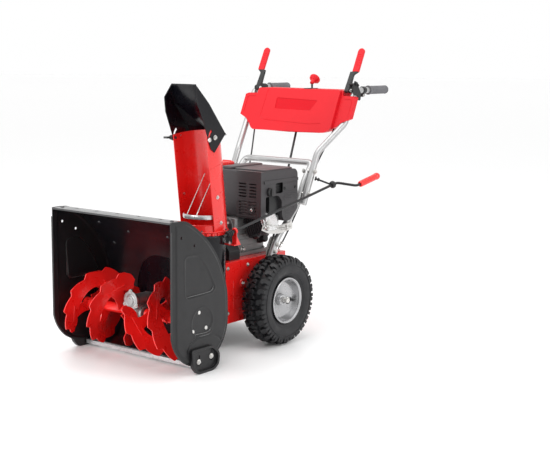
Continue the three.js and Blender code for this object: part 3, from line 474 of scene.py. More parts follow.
def raw_object(name, shape, weld=True):
    mesh = bpy.data.meshes.new(name)
    mesh.from_pydata([place(*p) for p in shape.points], [], shape.faces)
    obj = bpy.data.objects.new(name, mesh)
    bpy.context.scene.collection.objects.link(obj)
    work = bmesh.new()
    work.from_mesh(mesh)
    if weld:
        bmesh.ops.remove_doubles(work, verts=work.verts, dist=0.00002)
    bmesh.ops.recalc_face_normals(work, faces=work.faces)
    work.to_mesh(mesh)
    work.free()
    return obj


def boolean(obj, shape, operation="DIFFERENCE"):
    cutter = raw_object("cutter", shape)
    modifier = obj.modifiers.new("cut", "BOOLEAN")
    modifier.operation = operation
    modifier.object = cutter
    modifier.solver = "EXACT"
    modifier.use_self = True
    evaluated = obj.evaluated_get(bpy.context.evaluated_depsgraph_get())
    result = bpy.data.meshes.new_from_object(evaluated)
    obj.modifiers.clear()
    obj.data = result
    bpy.data.objects.remove(cutter)


# ---------------------------------------------------------------- pressed sheet
def polygon_distance(points, outline):
    """How far each point is from the outline, and whether it is inside."""
    a = np.array(outline, float)
    b = np.roll(a, -1, axis=0)
    points = np.asarray(points, float)
    best = np.full(len(points), 1e9)
    inside = np.zeros(len(points), bool)
    for p, q in zip(a, b):
        d = q - p
        length = max(d @ d, 1e-12)
        t = np.clip(((points - p) @ d) / length, 0, 1)
        best = np.minimum(best, np.linalg.norm(points - p - t[:, None] * d, axis=1))
        crosses = (p[1] > points[:, 1]) != (q[1] > points[:, 1])
        if abs(d[1]) > 1e-12:
            inside ^= crosses & (points[:, 0] < p[0] + (points[:, 1] - p[1]) * d[0] / d[1])
    return best, inside


def smoothstep(value, low, high):
    t = np.clip((value - low) / (high - low), 0, 1)
    return t * t * (3 - 2 * t)


def resampled(outline, spacing):
    points = []
    for p, q in zip(outline, outline[1:] + outline[:1]):
        p, q = np.array(p, float), np.array(q, float)
        steps = max(1, round(np.linalg.norm(q - p) / spacing))
        points += [tuple(p + (q - p) * i / steps) for i in range(steps)]
    return points


def pressed_sheet(outline, relief, to_space, thickness, spacing=3.0, holes=()):
    """Sheet metal with a relief. relief gives the height at an array of [u, w] points, and to_space
    turns (u, w, height) into a point."""
    loops = [resampled(outline, spacing)] + [resampled(hole, spacing / 2) for hole in holes]
    flat = [p for loop in loops for p in loop]
    edges, start = [], 0
    for loop in loops:
        edges += [(start + i, start + (i + 1) % len(loop)) for i in range(len(loop))]
        start += len(loop)
    low, high = np.min(loops[0], axis=0), np.max(loops[0], axis=0)
    rows = []
    for j, w in enumerate(np.arange(low[1], high[1], spacing * 0.87)):
        us = np.arange(low[0], high[0], spacing) + (spacing / 2 if j % 2 else 0)
        rows += [(u, w) for u in us]
    grid = np.array(rows)
    far, keep = polygon_distance(grid, loops[0])
    keep &= far > spacing * 0.45
    for hole in loops[1:]:
        far, inside = polygon_distance(grid, hole)
        keep &= ~inside & (far > spacing * 0.4)
    flat += [tuple(p) for p in grid[keep]]
    points, _, faces, *_ = delaunay_2d_cdt([Vector(p) for p in flat], edges, [], 0, 1e-5)
    points = np.array([tuple(p) for p in points])
    centres = np.array([points[list(f)].mean(axis=0) for f in faces])
    keep = polygon_distance(centres, loops[0])[1]
    for hole in loops[1:]:
        keep &= ~polygon_distance(centres, hole)[1]
    faces = [tuple(f) for f, k in zip(faces, keep) if k]
    height = relief(points)
    count = len(points)
    solid = [to_space(u, w, h) for (u, w), h in zip(points, height)]
    solid += [to_space(u, w, h - thickness) for (u, w), h in zip(points, height)]
    border = {}
    for f in faces:
        for a, b in zip(f, f[1:] + f[:1]):
            border[(a, b)] = border.get((b, a), 0) + 1
    walls = [(a, b) for (a, b) in border if (b, a) not in border]
    all_faces = faces + [tuple(i + count for i in reversed(f)) for f in faces]
    all_faces += [(b, a, a + count, b + count) for a, b in walls]
    return Shape(solid, all_faces)


def groove(points, line, width, depth, blur):
    """A pressed line along the outline or open line: its height over the points."""
    a = np.array(line, float)
    best = np.full(len(points), 1e9)
    for p, q in zip(a, a[1:]):
        d = q - p
        t = np.clip(((points - p) @ d) / max(d @ d, 1e-12), 0, 1)
        best = np.minimum(best, np.linalg.norm(points - p - t[:, None] * d, axis=1))
    return depth * (1 - smoothstep(best, width / 2, width / 2 + blur))


# ---------------------------------------------------------------- fasteners
def hex_bolt(at, direction, size=6.5, height=4.5, washer=8.5):
    """A washer, a six sided head with a chamfer, and a low dome."""
    at, direction = Vector(at), Vector(direction).normalized()
    plate = lathe([(0, 0), (washer, 0), (washer, 1.0), (washer - 0.4, 1.4), (0, 1.4)], at, direction, 24)
    head = lathe([(0, 0), (size, 0), (size, height - 1), (size - 1.1, height), (0, height)],
                 at + direction * 1.4, direction, 6, start=0.4)
    stud = lathe([(0, 0), (size * 0.42, 0), (size * 0.42, height + 1.0), (size * 0.3, height + 1.8),
                  (0, height + 1.8)], at + direction * 1.4, direction, 12)
    return plate + head + stud


def dome_bolt(at, direction, radius=8.5, height=4.0):
    """A carriage bolt's round head."""
    profile = [(0, 0), (radius, 0), (radius, 0.8)]
    profile += [(radius * math.cos(t), 0.8 + (height - 0.8) * math.sin(t)) for t in (0.35, 0.7, 1.05, 1.35)]
    return lathe(profile + [(0, height)], at, direction, 24)


def screw(at, direction, radius=5.0):
    """A pan head screw with a round recess."""
    return lathe([(0, 0), (radius, 0), (radius, 1.2), (radius * 0.75, 2.6), (radius * 0.3, 3.0),
                  (radius * 0.25, 1.6), (0, 1.4)], at, direction, 20)


def rounded_outline(points, radius, steps=5):
    """A closed outline with its corners rounded."""
    path = []
    for i, corner in enumerate(points):
        corner = np.array(corner, float)
        before, after = np.array(points[i - 1], float), np.array(points[(i + 1) % len(points)], float)
        into, out = before - corner, after - corner
        reach = min(radius, np.linalg.norm(into) * 0.45, np.linalg.norm(out) * 0.45)
        start = corner + into / np.linalg.norm(into) * reach
        end = corner + out / np.linalg.norm(out) * reach
        for k in range(steps + 1):
            t = k / steps
            path.append(tuple(start * (1 - t) ** 2 + corner * 2 * t * (1 - t) + end * t * t))
    return path


# ---------------------------------------------------------------- auger housing
HALF_WIDTH = 284
HOUSING_TOP = 527
BARREL = (142, 169, 145)  # Y, Z and radius of the housing's round bottom
SHEET = 3


def housing_back(inset):
    top = HOUSING_TOP - inset
    crown = spline([(0, top), (42, top), (83, 520 - inset), (148 - 0.6 * inset, 478 - 0.8 * inset),
                    (204 - 0.8 * inset, 426 - 0.6 * inset), (248 - inset, 361), (281 - inset, 272),
                    (BARREL[0] + BARREL[2] - inset, BARREL[1] + 20)], 8)
    return crown + arc(BARREL[0], BARREL[1], BARREL[2] - inset, 0, -86, 18)


def plate_outline():
    return housing_back(0) + arc(BARREL[0], BARREL[1], BARREL[2], -92, -168, 14) + [(0, BARREL[1] - 18)]


PLATE_HOLES = [(48, 472), (111, 439)]
BEARING_BOLTS = [(136, 209), (171, 151), (105, 148)]
POCKET = rounded_outline([(66, 262), (61, 407), (132, 407), (176, 358), (218, 284), (203, 268)], 22, 8)
BEARING_POCKET = arc(150, 172, 54, 208, -8, 20) + rounded_outline([(204, 152), (190, 130), (104, 128)], 12)
LEDGES = [[(68, 270), (147, 271), (190, 273), (202, 278), (208, 288)],
          [(71, 260), (147, 261), (193, 263), (208, 270), (216, 284)],
          [(107, 137), (157, 135), (181, 136), (193, 142), (200, 153)],
          [(110, 128), (157, 126), (184, 127), (198, 134), (206, 146)]]


def pocket(points, outline, depth, blur=5.0):
    """A pocket that deepens downwards to a ledge, with a low bead round it."""
    far, inside = polygon_distance(points, outline)
    signed = np.where(inside, far, -far)
    top, bottom = max(w for _, w in outline), min(w for _, w in outline)
    fall = np.clip((top - points[:, 1]) / (top - bottom), 0.15, 1)
    bead = 0.9 * np.exp(-(signed / 3.5) ** 2)
    return bead - depth * fall * smoothstep(signed, 0, blur)


def plate_relief(points):
    far, _ = polygon_distance(points, plate_outline())
    height = 3.2 * smoothstep(far, 9, 14) * smoothstep(points[:, 0], 22, 26)
    height += pocket(points, POCKET, 4.0)
    height += pocket(points, BEARING_POCKET, 3.5)
    skid_arc = spline([(80, 84), (90, 106), (117, 121), (161, 126), (202, 122), (236, 106), (250, 88)], 6)
    return height + groove(points, skid_arc, 2, -2.2, 4)


def make_side_plates():
    holes = [arc(y, z, 5, 0, 345, 23) for y, z in PLATE_HOLES]
    for name, side in SIDES:
        sheet = pressed_sheet(plate_outline(), plate_relief, lambda y, z, h: (HALF_WIDTH + h, y, z),
                              SHEET, 3.0, holes).mirrored(side)
        make(f"side_plate_{name}_sheet", sheet, POWDER, [f"side_plate_{name}"], smooth=50)
        low_front = [(0, 494), (0, 430), (0, 300), (0, 200), (0, 152)]
        low_front += arc(BARREL[0], BARREL[1], BARREL[2], -168, -124, 10)
        strip = [(-1.2, -0.5), (1.2, -0.5), (1.2, 7), (0.6, 8), (-0.6, 8), (-1.2, 7)]
        flange = sweep([(HALF_WIDTH - 2, y + 1.5, z) for y, z in low_front], 1, section=strip, up=X_AXIS)
        make(f"side_plate_{name}_flange", flange.mirrored(side), POWDER, smooth=40)
        beads = Shape()
        for line in LEDGES:
            curve = [(HALF_WIDTH + 0.6, y, z) for y, z in spline(line, 6)]
            beads += sweep(curve, 2.1, 12, taper=lambda t: min(1, 0.35 + 9 * min(t, 1 - t)))
        for loop in (POCKET, BEARING_POCKET):
            curve = [(HALF_WIDTH - 0.1, y, z) for y, z in loop + loop[:2]]
            beads += sweep(curve, 1.3, 8)
        # Known fault: with points at its ends only, all of it has its ends' radius of 0.9 mm.
        stiffener = sweep([(HALF_WIDTH - SHEET, 62, 400), (HALF_WIDTH - SHEET, 60, 276)], 4.5, 16,
                          taper=lambda t: min(1, 0.2 + 12 * min(t, 1 - t)))
        # The ledge beads take the painted-highlight copy of the powder coat.
        make(f"side_plate_{name}_beads", beads.mirrored(side), LEDGE_HIGHLIGHT_BLACK, weld=False)
        make(f"side_plate_{name}_stiffener", stiffener.mirrored(side), POWDER)
        bolts = joined(dome_bolt((HALF_WIDTH + 0.2, y, z), X_AXIS, 7.5, 4.5) for y, z in BEARING_BOLTS)
        make(f"bearing_bolts_{name}", bolts.mirrored(side), ZINC)


def make_housing():
    outer, inner = housing_back(1), housing_back(1 + SHEET)
    half = HALF_WIDTH - SHEET - 0.3
    columns = 12
    loop = outer + inner[::-1]
    points = [(-half + 2 * half * i / columns, y, z) for i in range(columns + 1) for y, z in loop]
    count = len(loop)
    faces = ring_faces(columns + 1, count)
    for start in (0, columns * count):
        for k in range(len(outer) - 1):
            faces.append((start + k, start + k + 1, start + count - 2 - k, start + count - 1 - k))
    shell = Shape(points, faces)
    mouth = rod(147, 260, (0, 150, 207), Y_AXIS, 96)
    make("housing_sheet", shell, GLOSS_BLACK, ["housing_shell"], smooth=30, cutters=[mouth])
    hem = sweep([(-half, 1, 523), (half, 1, 523)], 1, section=[(-3, -1.4), (3, -1.4), (3, 1.4), (-3, 1.4)],
                up=Y_AXIS)
    make("housing_hem", hem, GLOSS_BLACK, bevel=0.8)
    beads = joined(sweep([(x, 9, 525.6), (x, 42, 525.6), (x, 70, 522.4)], 1.7, 12,
                         taper=lambda t: min(1, 0.3 + 9 * min(t, 1 - t))) for x in range(-200, 201, 100))
    make("housing_beads", beads, GLOSS_BLACK, weld=False)
    back = housing_back(1 + SHEET)
    wall = [p for p in back if 330 < p[1] < 480]
    bolts = []
    for x, share in ((-215, 0.15), (-95, 0.35), (95, 0.35), (215, 0.15), (-215, 0.8), (215, 0.8)):
        y, z = wall[int(share * (len(wall) - 1))]
        y2, z2 = wall[min(int(share * (len(wall) - 1)) + 1, len(wall) - 1)]
        out = Vector((0, -(z - z2), -(y2 - y))).normalized()
        bolts.append(dome_bolt((x, y, z), out, 6, 3))
    make("housing_bolts", joined(bolts), IRON)
    edge_bolts = []
    for side in (1, -1):
        for y, z in [(30, 527), (236, 380), (286, 240)]:
            out = Vector((0, 0, 1)) if z > 500 else Vector((0, 0.85, 0.5)) if z > 300 else Y_AXIS
            edge_bolts.append(dome_bolt((side * 262, y - 0.5, z - 0.5), out, 7, 3.5))
    make("housing_edge_bolts", joined(edge_bolts), IRON)


def make_scraper():
    outline = [(149, 8), (154, 8), (205, 19), (205, 22.5), (149, 22.5)]
    make("scraper_blade", prism(outline, "x", -279, 279), GALVANISED, ["scraper_bar"], bevel=0.8)
    bolts = joined(dome_bolt((x, 185, 14.7), Vector((0, 0.21, -1)), 6, 2.2) for x in range(-240, 241, 120))
    make("scraper_bolts", bolts, ZINC)


SKID_BOLTS = [(129, 45), (193, 53)]


def make_skid_shoes():
    outline = rounded_outline([(85, 86), (92, 28), (116, 0), (200, 0), (226, 18), (229, 58), (194, 89),
                               (90, 89)], 14)
    tray = rounded_outline([(96, 80), (101, 31), (120, 9), (197, 9), (217, 23), (219, 55), (190, 80)], 12)
    x0 = HALF_WIDTH + 0.4
    for name, side in SIDES:
        cutters = [prism(tray, "x", x0 + 5, x0 + 20).mirrored(side)]
        for y, z in SKID_BOLTS:
            slot = rounded_rectangle(y - 6, y + 6, z - 19, z + 19, 5.9)
            cutters.append(prism(slot, "x", x0 + 1.5, x0 + 20).mirrored(side))
        make(f"skid_shoe_{name}_casting", prism(outline, "x", x0, x0 + 15).mirrored(side), POWDER,
             [f"skid_shoe_{name}"], bevel=1.4, segments=3, cutters=cutters)
        bolts = joined(hex_bolt((x0 + 5, y, z - 4), X_AXIS, 6.5, 4.5, 9.5) for y, z in SKID_BOLTS)
        make(f"skid_bolts_{name}", bolts.mirrored(side), ZINC)


# ---------------------------------------------------------------- auger
AUGER_Y, AUGER_Z, AUGER_R = 138, 169, 136
AUGER_BAND, AUGER_PITCH, AUGER_TEETH = 64, 235, 11
AUGER_ENDS = (42, 262)


def hook(t):
    """How deep the edge lies at share t of one tooth: a long rising back, then a steep notch."""
    if t < 0.8:
        return 15 * (1 - t / 0.8) ** 1.3
    return 15 * ((t - 0.8) / 0.2) ** 0.7


def auger_ribbon(x0, x1, start_angle, hand):
    turns = (x1 - x0) / AUGER_PITCH
    steps = int(AUGER_TEETH * turns * 18)
    across, thickness = 5, 4.0
    points = []
    for i in range(steps + 1):
        share = i / steps
        angle = start_angle + hand * turns * 2 * math.pi * share
        x = x0 + (x1 - x0) * share
        end = min(share, 1 - share) * steps
        tooth = (AUGER_TEETH * turns * share * hand + 0.5) % 1
        outer = AUGER_R + 2 - hook(tooth) - max(0, 6 - end) ** 2 * 0.5
        inner = AUGER_R - AUGER_BAND + 5 * math.cos(angle * 3) - 3 + max(0, 6 - end) ** 2 * 0.5
        front, rear = [], []
        for k in range(across):
            radius = inner + (outer - inner) * k / (across - 1)
            cup = 3.0 * math.sin(math.pi * k / (across - 1))
            y, z = AUGER_Y + radius * math.cos(angle), AUGER_Z + radius * math.sin(angle)
            front.append((x - thickness / 2 - cup, y, z))
            rear.append((x + thickness / 2 - cup, y, z))
        points += front + rear[::-1]
    count = 2 * across
    last = steps * count
    ends = [tuple(range(count)), tuple(reversed(range(last, last + count)))]
    return Shape(points, ring_faces(steps + 1, count) + ends)


def auger_arm(x, angle, reach, tilt):
    """A flat bar from the tube to the ribbon, a little twisted and wider at its foot."""
    points = []
    steps = 12
    for i in range(steps + 1):
        share = i / steps
        radius = 12 + (reach - 12) * share
        half = 18 + 7 * (1 - share) ** 2 + 20 * share ** 3 - 3 * math.sin(share * math.pi)
        turn = tilt * share
        for dx, dy in ((-2.2, -half), (2.2, -half), (2.2, half), (-2.2, half)):
            u = dx * math.cos(turn) - dy * math.sin(turn)
            w = dx * math.sin(turn) + dy * math.cos(turn)
            points.append((x + u, AUGER_Y + radius * math.cos(angle) - w * math.sin(angle),
                           AUGER_Z + radius * math.sin(angle) + w * math.cos(angle)))
    ends = [(0, 3, 2, 1), tuple(steps * 4 + k for k in range(4))]
    return Shape(points, ring_faces(steps + 1, 4) + ends)


def make_augers():
    for name, side in SIDES:
        x0, x1 = (AUGER_ENDS if side > 0 else (-AUGER_ENDS[1], -AUGER_ENDS[0]))
        start, end = (x0 + 2, x1 + 8) if side > 0 else (x0 - 8, x1 - 2)
        hand, zero = (1, 60) if side > 0 else (-1, -230)
        tube = pipe(12.5, 18, x1 - x0, (x0, AUGER_Y, AUGER_Z), X_AXIS, 40)
        make(f"auger_tube_{name}", tube, RED, [f"auger_{name}"], "auger", bevel=0.8)
        for index in range(2):
            def angle_at(x):
                return math.pi * (1 + index) + hand * (x - zero) * 2 * math.pi / AUGER_PITCH
            ribbon = auger_ribbon(start, end, angle_at(start), hand)
            make(f"auger_ribbon_{name}_{index}", ribbon, RED, body="auger", bevel=0.6, smooth=32)
            arms = joined(auger_arm(start + (end - start) * share, angle_at(start + (end - start) * share),
                                    AUGER_R - AUGER_BAND + 14, -hand * 0.44) for share in (0.12, 0.5, 0.88))
            make(f"auger_arms_{name}_{index}", arms, RED, body="auger", bevel=0.8)
        inner = x0 + 14 if side > 0 else x1 - 14
        pin = hex_bolt((inner, AUGER_Y, AUGER_Z + 17.5), Z_AXIS, 5, 4, 6)
        pin += hex_bolt((inner, AUGER_Y, AUGER_Z - 17.5), -Z_AXIS, 5, 5, 5.5)
        make(f"shear_pin_{name}", pin, ZINC, body="auger")
        clip = [(inner + 1.5, AUGER_Y + 8 + 7 * math.cos(t), AUGER_Z + 24 + 9 * math.sin(t))
                for t in np.linspace(-2.4, 2.6, 20)]
        make(f"shear_pin_clip_{name}", sweep(clip, 1.1, 8), ZINC, body="auger")
        seat = (side * (HALF_WIDTH - SHEET - 0.3), AUGER_Y, AUGER_Z)
        cup = [(0, 0), (32, 0), (32, 5), (30, 7), (23, 9), (21, 16), (13, 16), (13, 4), (0, 4)]
        make(f"auger_bearing_cup_{name}", lathe(cup, seat, (-side, 0, 0), 48), IRON,
             [f"auger_bearing_{name}"], bevel=0.5)
    low, high = node_box("auger_shaft")
    bar = rod(12, high.x - low.x, (low.x, AUGER_Y, AUGER_Z), X_AXIS, 32)
    make("auger_shaft_bar", bar, IRON, ["auger_shaft"], "auger", bevel=0.8)


IMPELLER_Z = 207


def make_gearbox():
    wheel = [(0, -36), (20, -36), (24, -34), (26, -26), (34, -20), (36, -16), (36, 16), (34, 20), (26, 26),
             (24, 34), (20, 36), (0, 36)]
    case = lathe(wheel, (0, AUGER_Y, AUGER_Z), X_AXIS, 56)
    flange = lathe([(0, -3), (40, -3), (41, -2), (41, 2), (40, 3), (0, 3)], (0, AUGER_Y, AUGER_Z), X_AXIS,
                   56)
    worm = lathe([(0, 0), (31, 0), (31, 9), (27, 14), (25, 22), (24.5, 84), (20, 92), (19, 96), (19, 126),
                  (0, 126)],
                 (0, 102, IMPELLER_Z + 3), Y_AXIS, 56)
    ribs = joined(block(-2, 2, y - 2, y + 2, 176, 236) for y in (128, 152, 176))
    make("gearbox_casting", case + flange + worm + ribs, CAST, ["gearbox_case"], bevel=0.7, weld=False)
    around = [math.radians(a) for a in (0, 60, 120, 180, 240, 300)]
    bolts = []
    for a in around:
        y, z = AUGER_Y + 37 * math.cos(a), AUGER_Z + 37 * math.sin(a)
        bolts += [hex_bolt((3.2, y, z), X_AXIS, 3.6, 3.2, 4.2),
                  hex_bolt((-3.2, y, z), -X_AXIS, 3.6, 3.2, 4.2)]
    make("gearbox_bolts", joined(bolts), ZINC)
    foot = Vector((0, 104, IMPELLER_Z + 9))
    cover = lathe([(0, 10), (15, 10), (16.5, 9), (17, 5.5), (21, 4.6), (23, 6.2), (31, 6.2), (33, 4.5),
                   (33, 0),
                   (0, 0)], foot, -Y_AXIS, 56)
    ears = Shape()
    for a in (90, 210, 330):
        at = foot + 31 * Vector((math.cos(math.radians(a)), 0, math.sin(math.radians(a))))
        ears += lathe([(0, 0), (9, 0), (9, 5), (8, 6), (0, 6)], at, -Y_AXIS, 24)
    make("gearbox_cover_plate", cover + ears, POLISHED, ["gearbox_cover"], bevel=0.4, weld=False)
    bolts = joined(hex_bolt(foot + 31 * Vector((math.cos(math.radians(a)), 0, math.sin(math.radians(a))))
                            + Vector((0, -6, 0)), -Y_AXIS, 4.2, 3.6, 5.5) for a in (90, 210, 330))
    make("gearbox_cover_bolts", bolts, ZINC)


def make_impeller():
    front, back, radius = 300, 400, 140
    hub = pipe(12.6, 24, back - front, (0, front, IMPELLER_Z), Y_AXIS, 40)
    blades = Shape()
    for i in range(4):
        turn = Matrix.Translation((0, 0, IMPELLER_Z)) @ Matrix.Rotation(math.radians(45 + 90 * i), 4, "Y")
        side = [(-3, 18), (3, 18), (3, radius - 9), (7, radius - 5), (20, radius - 5), (20, radius - 1),
                (1, radius - 1), (-3, radius - 5)]
        blade = prism(side, "y", front, back)
        gusset = prism([(front + 6, 20), (front + 46, 20), (front + 6, 62)], "x", -1.5, 1.5)
        gusset = gusset.moved(Matrix.Translation((0, 30, 0)))
        blades += (blade + gusset).moved(turn)
    make("impeller_rotor", hub + blades, RED, ["impeller"], "impeller", bevel=0.9, weld=False)
    low, high = node_box("impeller_shaft")
    length = high.y - low.y
    bar = rod(12, length, (0, low.y, IMPELLER_Z), Y_AXIS, 32)
    bolt = hex_bolt((0, front - 0.5, IMPELLER_Z + 30), -Y_AXIS, 4, 3, 5)
    make("impeller_shaft_bar", bar, IRON, ["impeller_shaft"], "impeller", bevel=0.8)
    make("impeller_bolt", bolt, ZINC, body="impeller")


CHUTE_X, CHUTE_Y = 94, 380


def make_drum():
    def can(r, y0, y1):
        return rod(r, y1 - y0, (0, y0, IMPELLER_Z), Y_AXIS, 96)

    def outlet(r, z0, z1):
        return rod(r, z1 - z0, (CHUTE_X, CHUTE_Y, z0), Z_AXIS, 72)

    spout = outlet(78, 240, 430)
    body = raw_object("drum_sheet", can(150, 225, 430))
    boolean(body, spout, "UNION")
    boolean(body, can(147, 200, 427))
    # Known fault: this cut leaves part of the cutter's own surface inside the drum, as a thin cup.
    boolean(body, outlet(75, 243, 440))
    boolean(body, prism(housing_back(0.6) + [(-50, 20), (-50, 527)], "x", -300, 300))
    boolean(body, rod(18, 50, (0, 400, IMPELLER_Z), Y_AXIS, 32))
    finished(body, "drum_sheet", HOOD_BLACK, ["impeller_drum"])
    flange = lathe([(76, 424), (88, 424), (89, 426), (88, 430), (76, 430)], (CHUTE_X, CHUTE_Y, 0), Z_AXIS,
                   72)
    make("spout_flange", flange, POWDER, bevel=0.5)
    seam = pipe(149.5, 153, 3, (0, 427, IMPELLER_Z), Y_AXIS, 96)
    make("drum_seam", seam, POWDER, bevel=0.5, cutters=[outlet(74.5, 243, 440)])
    bolts = Shape()
    for k in range(8):
        a = math.radians(22.5 + 45 * k)
        bolts += hex_bolt((116 * math.cos(a), 430, IMPELLER_Z + 116 * math.sin(a)), Y_AXIS, 5, 4, 7)
    make("drum_bolts", bolts, ZINC)


# ---------------------------------------------------------------- frame and belt cover
FRAME_X, FRAME_LOW, FRAME_TOP = 150, 91, 318
AXLE_Y, AXLE_Z = 632, 166


def make_frame():
    outer = block(-FRAME_X, FRAME_X, 433, 790, FRAME_LOW, FRAME_TOP)
    inner = block(-FRAME_X + 3, FRAME_X - 3, 436, 787, FRAME_LOW - 10, FRAME_TOP - 3)
    well = block(-125, 125, 478, 532, 200, FRAME_TOP + 5)
    hub_hole = rod(26, 30, (0, 425, IMPELLER_Z), Y_AXIS, 40)
    axle_hole = rod(10.5, 400, (-200, AXLE_Y, AXLE_Z), X_AXIS, 32)
    make("frame_sheet", outer, RED, ["tractor_frame"], bevel=1.2,
         cutters=[inner, well, hub_hole, axle_hole])
    trim = Shape()
    for _, side in SIDES:
        ridge = [(476, 250), (477, 140), (533, 134)]
        path = rounded_path([(side * (FRAME_X + 0.4), y, z) for y, z in ridge], 12)
        trim += sweep(path, 1.2, 10)
        boss = lathe([(0, 0), (15, 0), (13, 5), (0, 5)], (side * FRAME_X, 526, 232), (side, 0, 0), 32)
        trim += boss
        seam = prism([(436, 96), (787, 96), (787, 99), (436, 99)], "x", side * FRAME_X,
                     side * (FRAME_X + 1.2))
        trim += seam
    make("frame_pressings", trim, RED, bevel=0.4, weld=False)
    bosses = Shape()
    for _, side in SIDES:
        bosses += lathe([(10.6, 0), (24, 0), (24, 8), (22, 9.5), (16, 9.7), (10.6, 9.7)],
                        (side * (FRAME_X + 0.1), AXLE_Y, AXLE_Z), (side, 0, 0), 40)
    make("axle_bushings", bosses, IRON, bevel=0.4)
    bolts = Shape()
    for _, side in SIDES:
        for y, z in ((446, 296), (446, 130), (526, 232), (560, 296), (770, 296), (770, 120)):
            bolts += hex_bolt((side * (FRAME_X + (5 if (y, z) == (526, 232) else 0)), y, z),
                              (side, 0, 0), 5, 4, 7.5)
    for x in (-100, 100):
        for z in (130, 286):
            bolts += hex_bolt((x, 790, z), Y_AXIS, 5, 4, 7.5)
    make("frame_bolts", bolts, ZINC)
    plate = prism(rounded_rectangle(-132, 132, 442, 784, 16), "z", 87.6, 90.2)
    ribs = joined(prism(rounded_rectangle(x - 5, x + 5, 480, 740, 4.9), "z", 84.6, 88.2) for x in (-90, -30,
                                                                                                   30, 90))
    make("frame_bottom_plate", plate, POWDER, bevel=0.8)
    make("frame_bottom_ribs", ribs, POWDER, bevel=1.2)
    screws = joined(dome_bolt((x, y, 87.6), -Z_AXIS, 5.5, 2.5) for x in (-118, 118) for y in (458, 612,
                                                                                              768))
    make("frame_bottom_screws", screws, ZINC)
    low, high = node_box("axle")
    bar = rod(9.5, high.x - low.x, (low.x, AXLE_Y, AXLE_Z), X_AXIS, 32)
    make("axle_bar", bar, ZINC, ["axle"], "wheels", bevel=1.0)


def belt_cover_outline(inset):
    foot = 132 - inset
    return ([(-foot, 318.3), (-foot, 352)] + arc(0, 424, 62 - inset, 155, 25, 20) + [(foot, 352),
                                                                                     (foot, 318.3)])


def make_belt_cover():
    shell = prism(belt_cover_outline(0), "y", 475, 536)
    hollow = prism(belt_cover_outline(2.5), "y", 477.5, 533.5)
    well = block(-125, 125, 478, 532, 300, 345)
    shaft = rod(36, 20, (0, 525, 424), Y_AXIS, 48)
    make("belt_cover_shell", shell, BLACK_PLASTIC, ["belt_cover"], bevel=2.2, segments=3,
         cutters=[hollow, well, shaft])
    rim = [(x * 0.86, 474.6, 424 + (z - 424) * 0.86) for x, z in belt_cover_outline(0)[1:-1]]
    ribs = sweep(rim, 1.6, 8)
    make("belt_cover_beads", ribs, BLACK_PLASTIC)
    screws = Shape()
    for x in (-108, 108):
        screws += hex_bolt((x, 505, 352), Z_AXIS, 5, 3.5, 8)
    for x, z in ((-44, 400), (44, 400), (0, 468)):
        screws += hex_bolt((x, 475, z), -Y_AXIS, 4, 3, 6.5)
    make("belt_cover_screws", screws, ZINC)


# ---------------------------------------------------------------- wheels
TYRE_R, TYRE_IN, TYRE_OUT, BEAD_R = 166, 186, 290, 86


def tyre_profile():
    middle = (TYRE_IN + TYRE_OUT) / 2
    half = (TYRE_OUT - TYRE_IN) / 2
    side = [(BEAD_R, half - 19), (BEAD_R + 3, half - 13), (BEAD_R + 9, half - 11), (BEAD_R + 13, half - 7),
            (BEAD_R + 22, half - 3), (BEAD_R + 34, half - 0.5), (BEAD_R + 46, half - 0.8), (BEAD_R + 58,
                                                                                            half - 4),
            (BEAD_R + 64, half - 9), (BEAD_R + 66, half - 17), (BEAD_R + 67, half - 34), (BEAD_R + 67.5, 0)]
    outer = side + [(r, -w) for r, w in side[-2::-1]]
    inner = [(BEAD_R, -half + 24), (BEAD_R + 30, -half + 12), (BEAD_R + 60, -half + 16), (BEAD_R + 64, 0),
             (BEAD_R + 60, half - 16), (BEAD_R + 30, half - 12), (BEAD_R, half - 24)]
    return middle, outer, inner


def lug(side, outline, angle, height=17.0):
    """A tread block. Its outline is [distance across from the tyre's middle, degrees round] points."""
    middle = (TYRE_IN + TYRE_OUT) / 2
    centre_w = sum(w for w, _ in outline) / len(outline)
    centre_a = sum(a for _, a in outline) / len(outline)
    points = []
    for top in (0, 1):
        for w, a in outline:
            shrink = 0.78 if top else 0.98
            across = centre_w + (w - centre_w) * shrink
            turn = math.radians(angle + centre_a + (a - centre_a) * shrink)
            crown = TYRE_R - 0.020 * max(0, abs(across) - 24) ** 2
            radius = crown if top else crown - height
            points.append((side * (middle + across), AXLE_Y + radius * math.cos(turn),
                           AXLE_Z + radius * math.sin(turn)))
    return Shape(points, loop_faces(len(outline)))


LUG_COUNT = 26
CENTRE_LUG = [(-15, 0.5), (-4, -2.5), (13, 0.2), (16, 4.6), (4, 3.6), (-13, 6.6)]
SHOULDER_LUG = [(20, 1.5), (34, -0.6), (50, 0.4), (51, 6.2), (38, 6.4), (33, 9.0), (22, 8.0)]
EDGE_LUG = [(44, 7.8), (50.5, 7.4), (50.8, 12.4), (43, 12.6)]


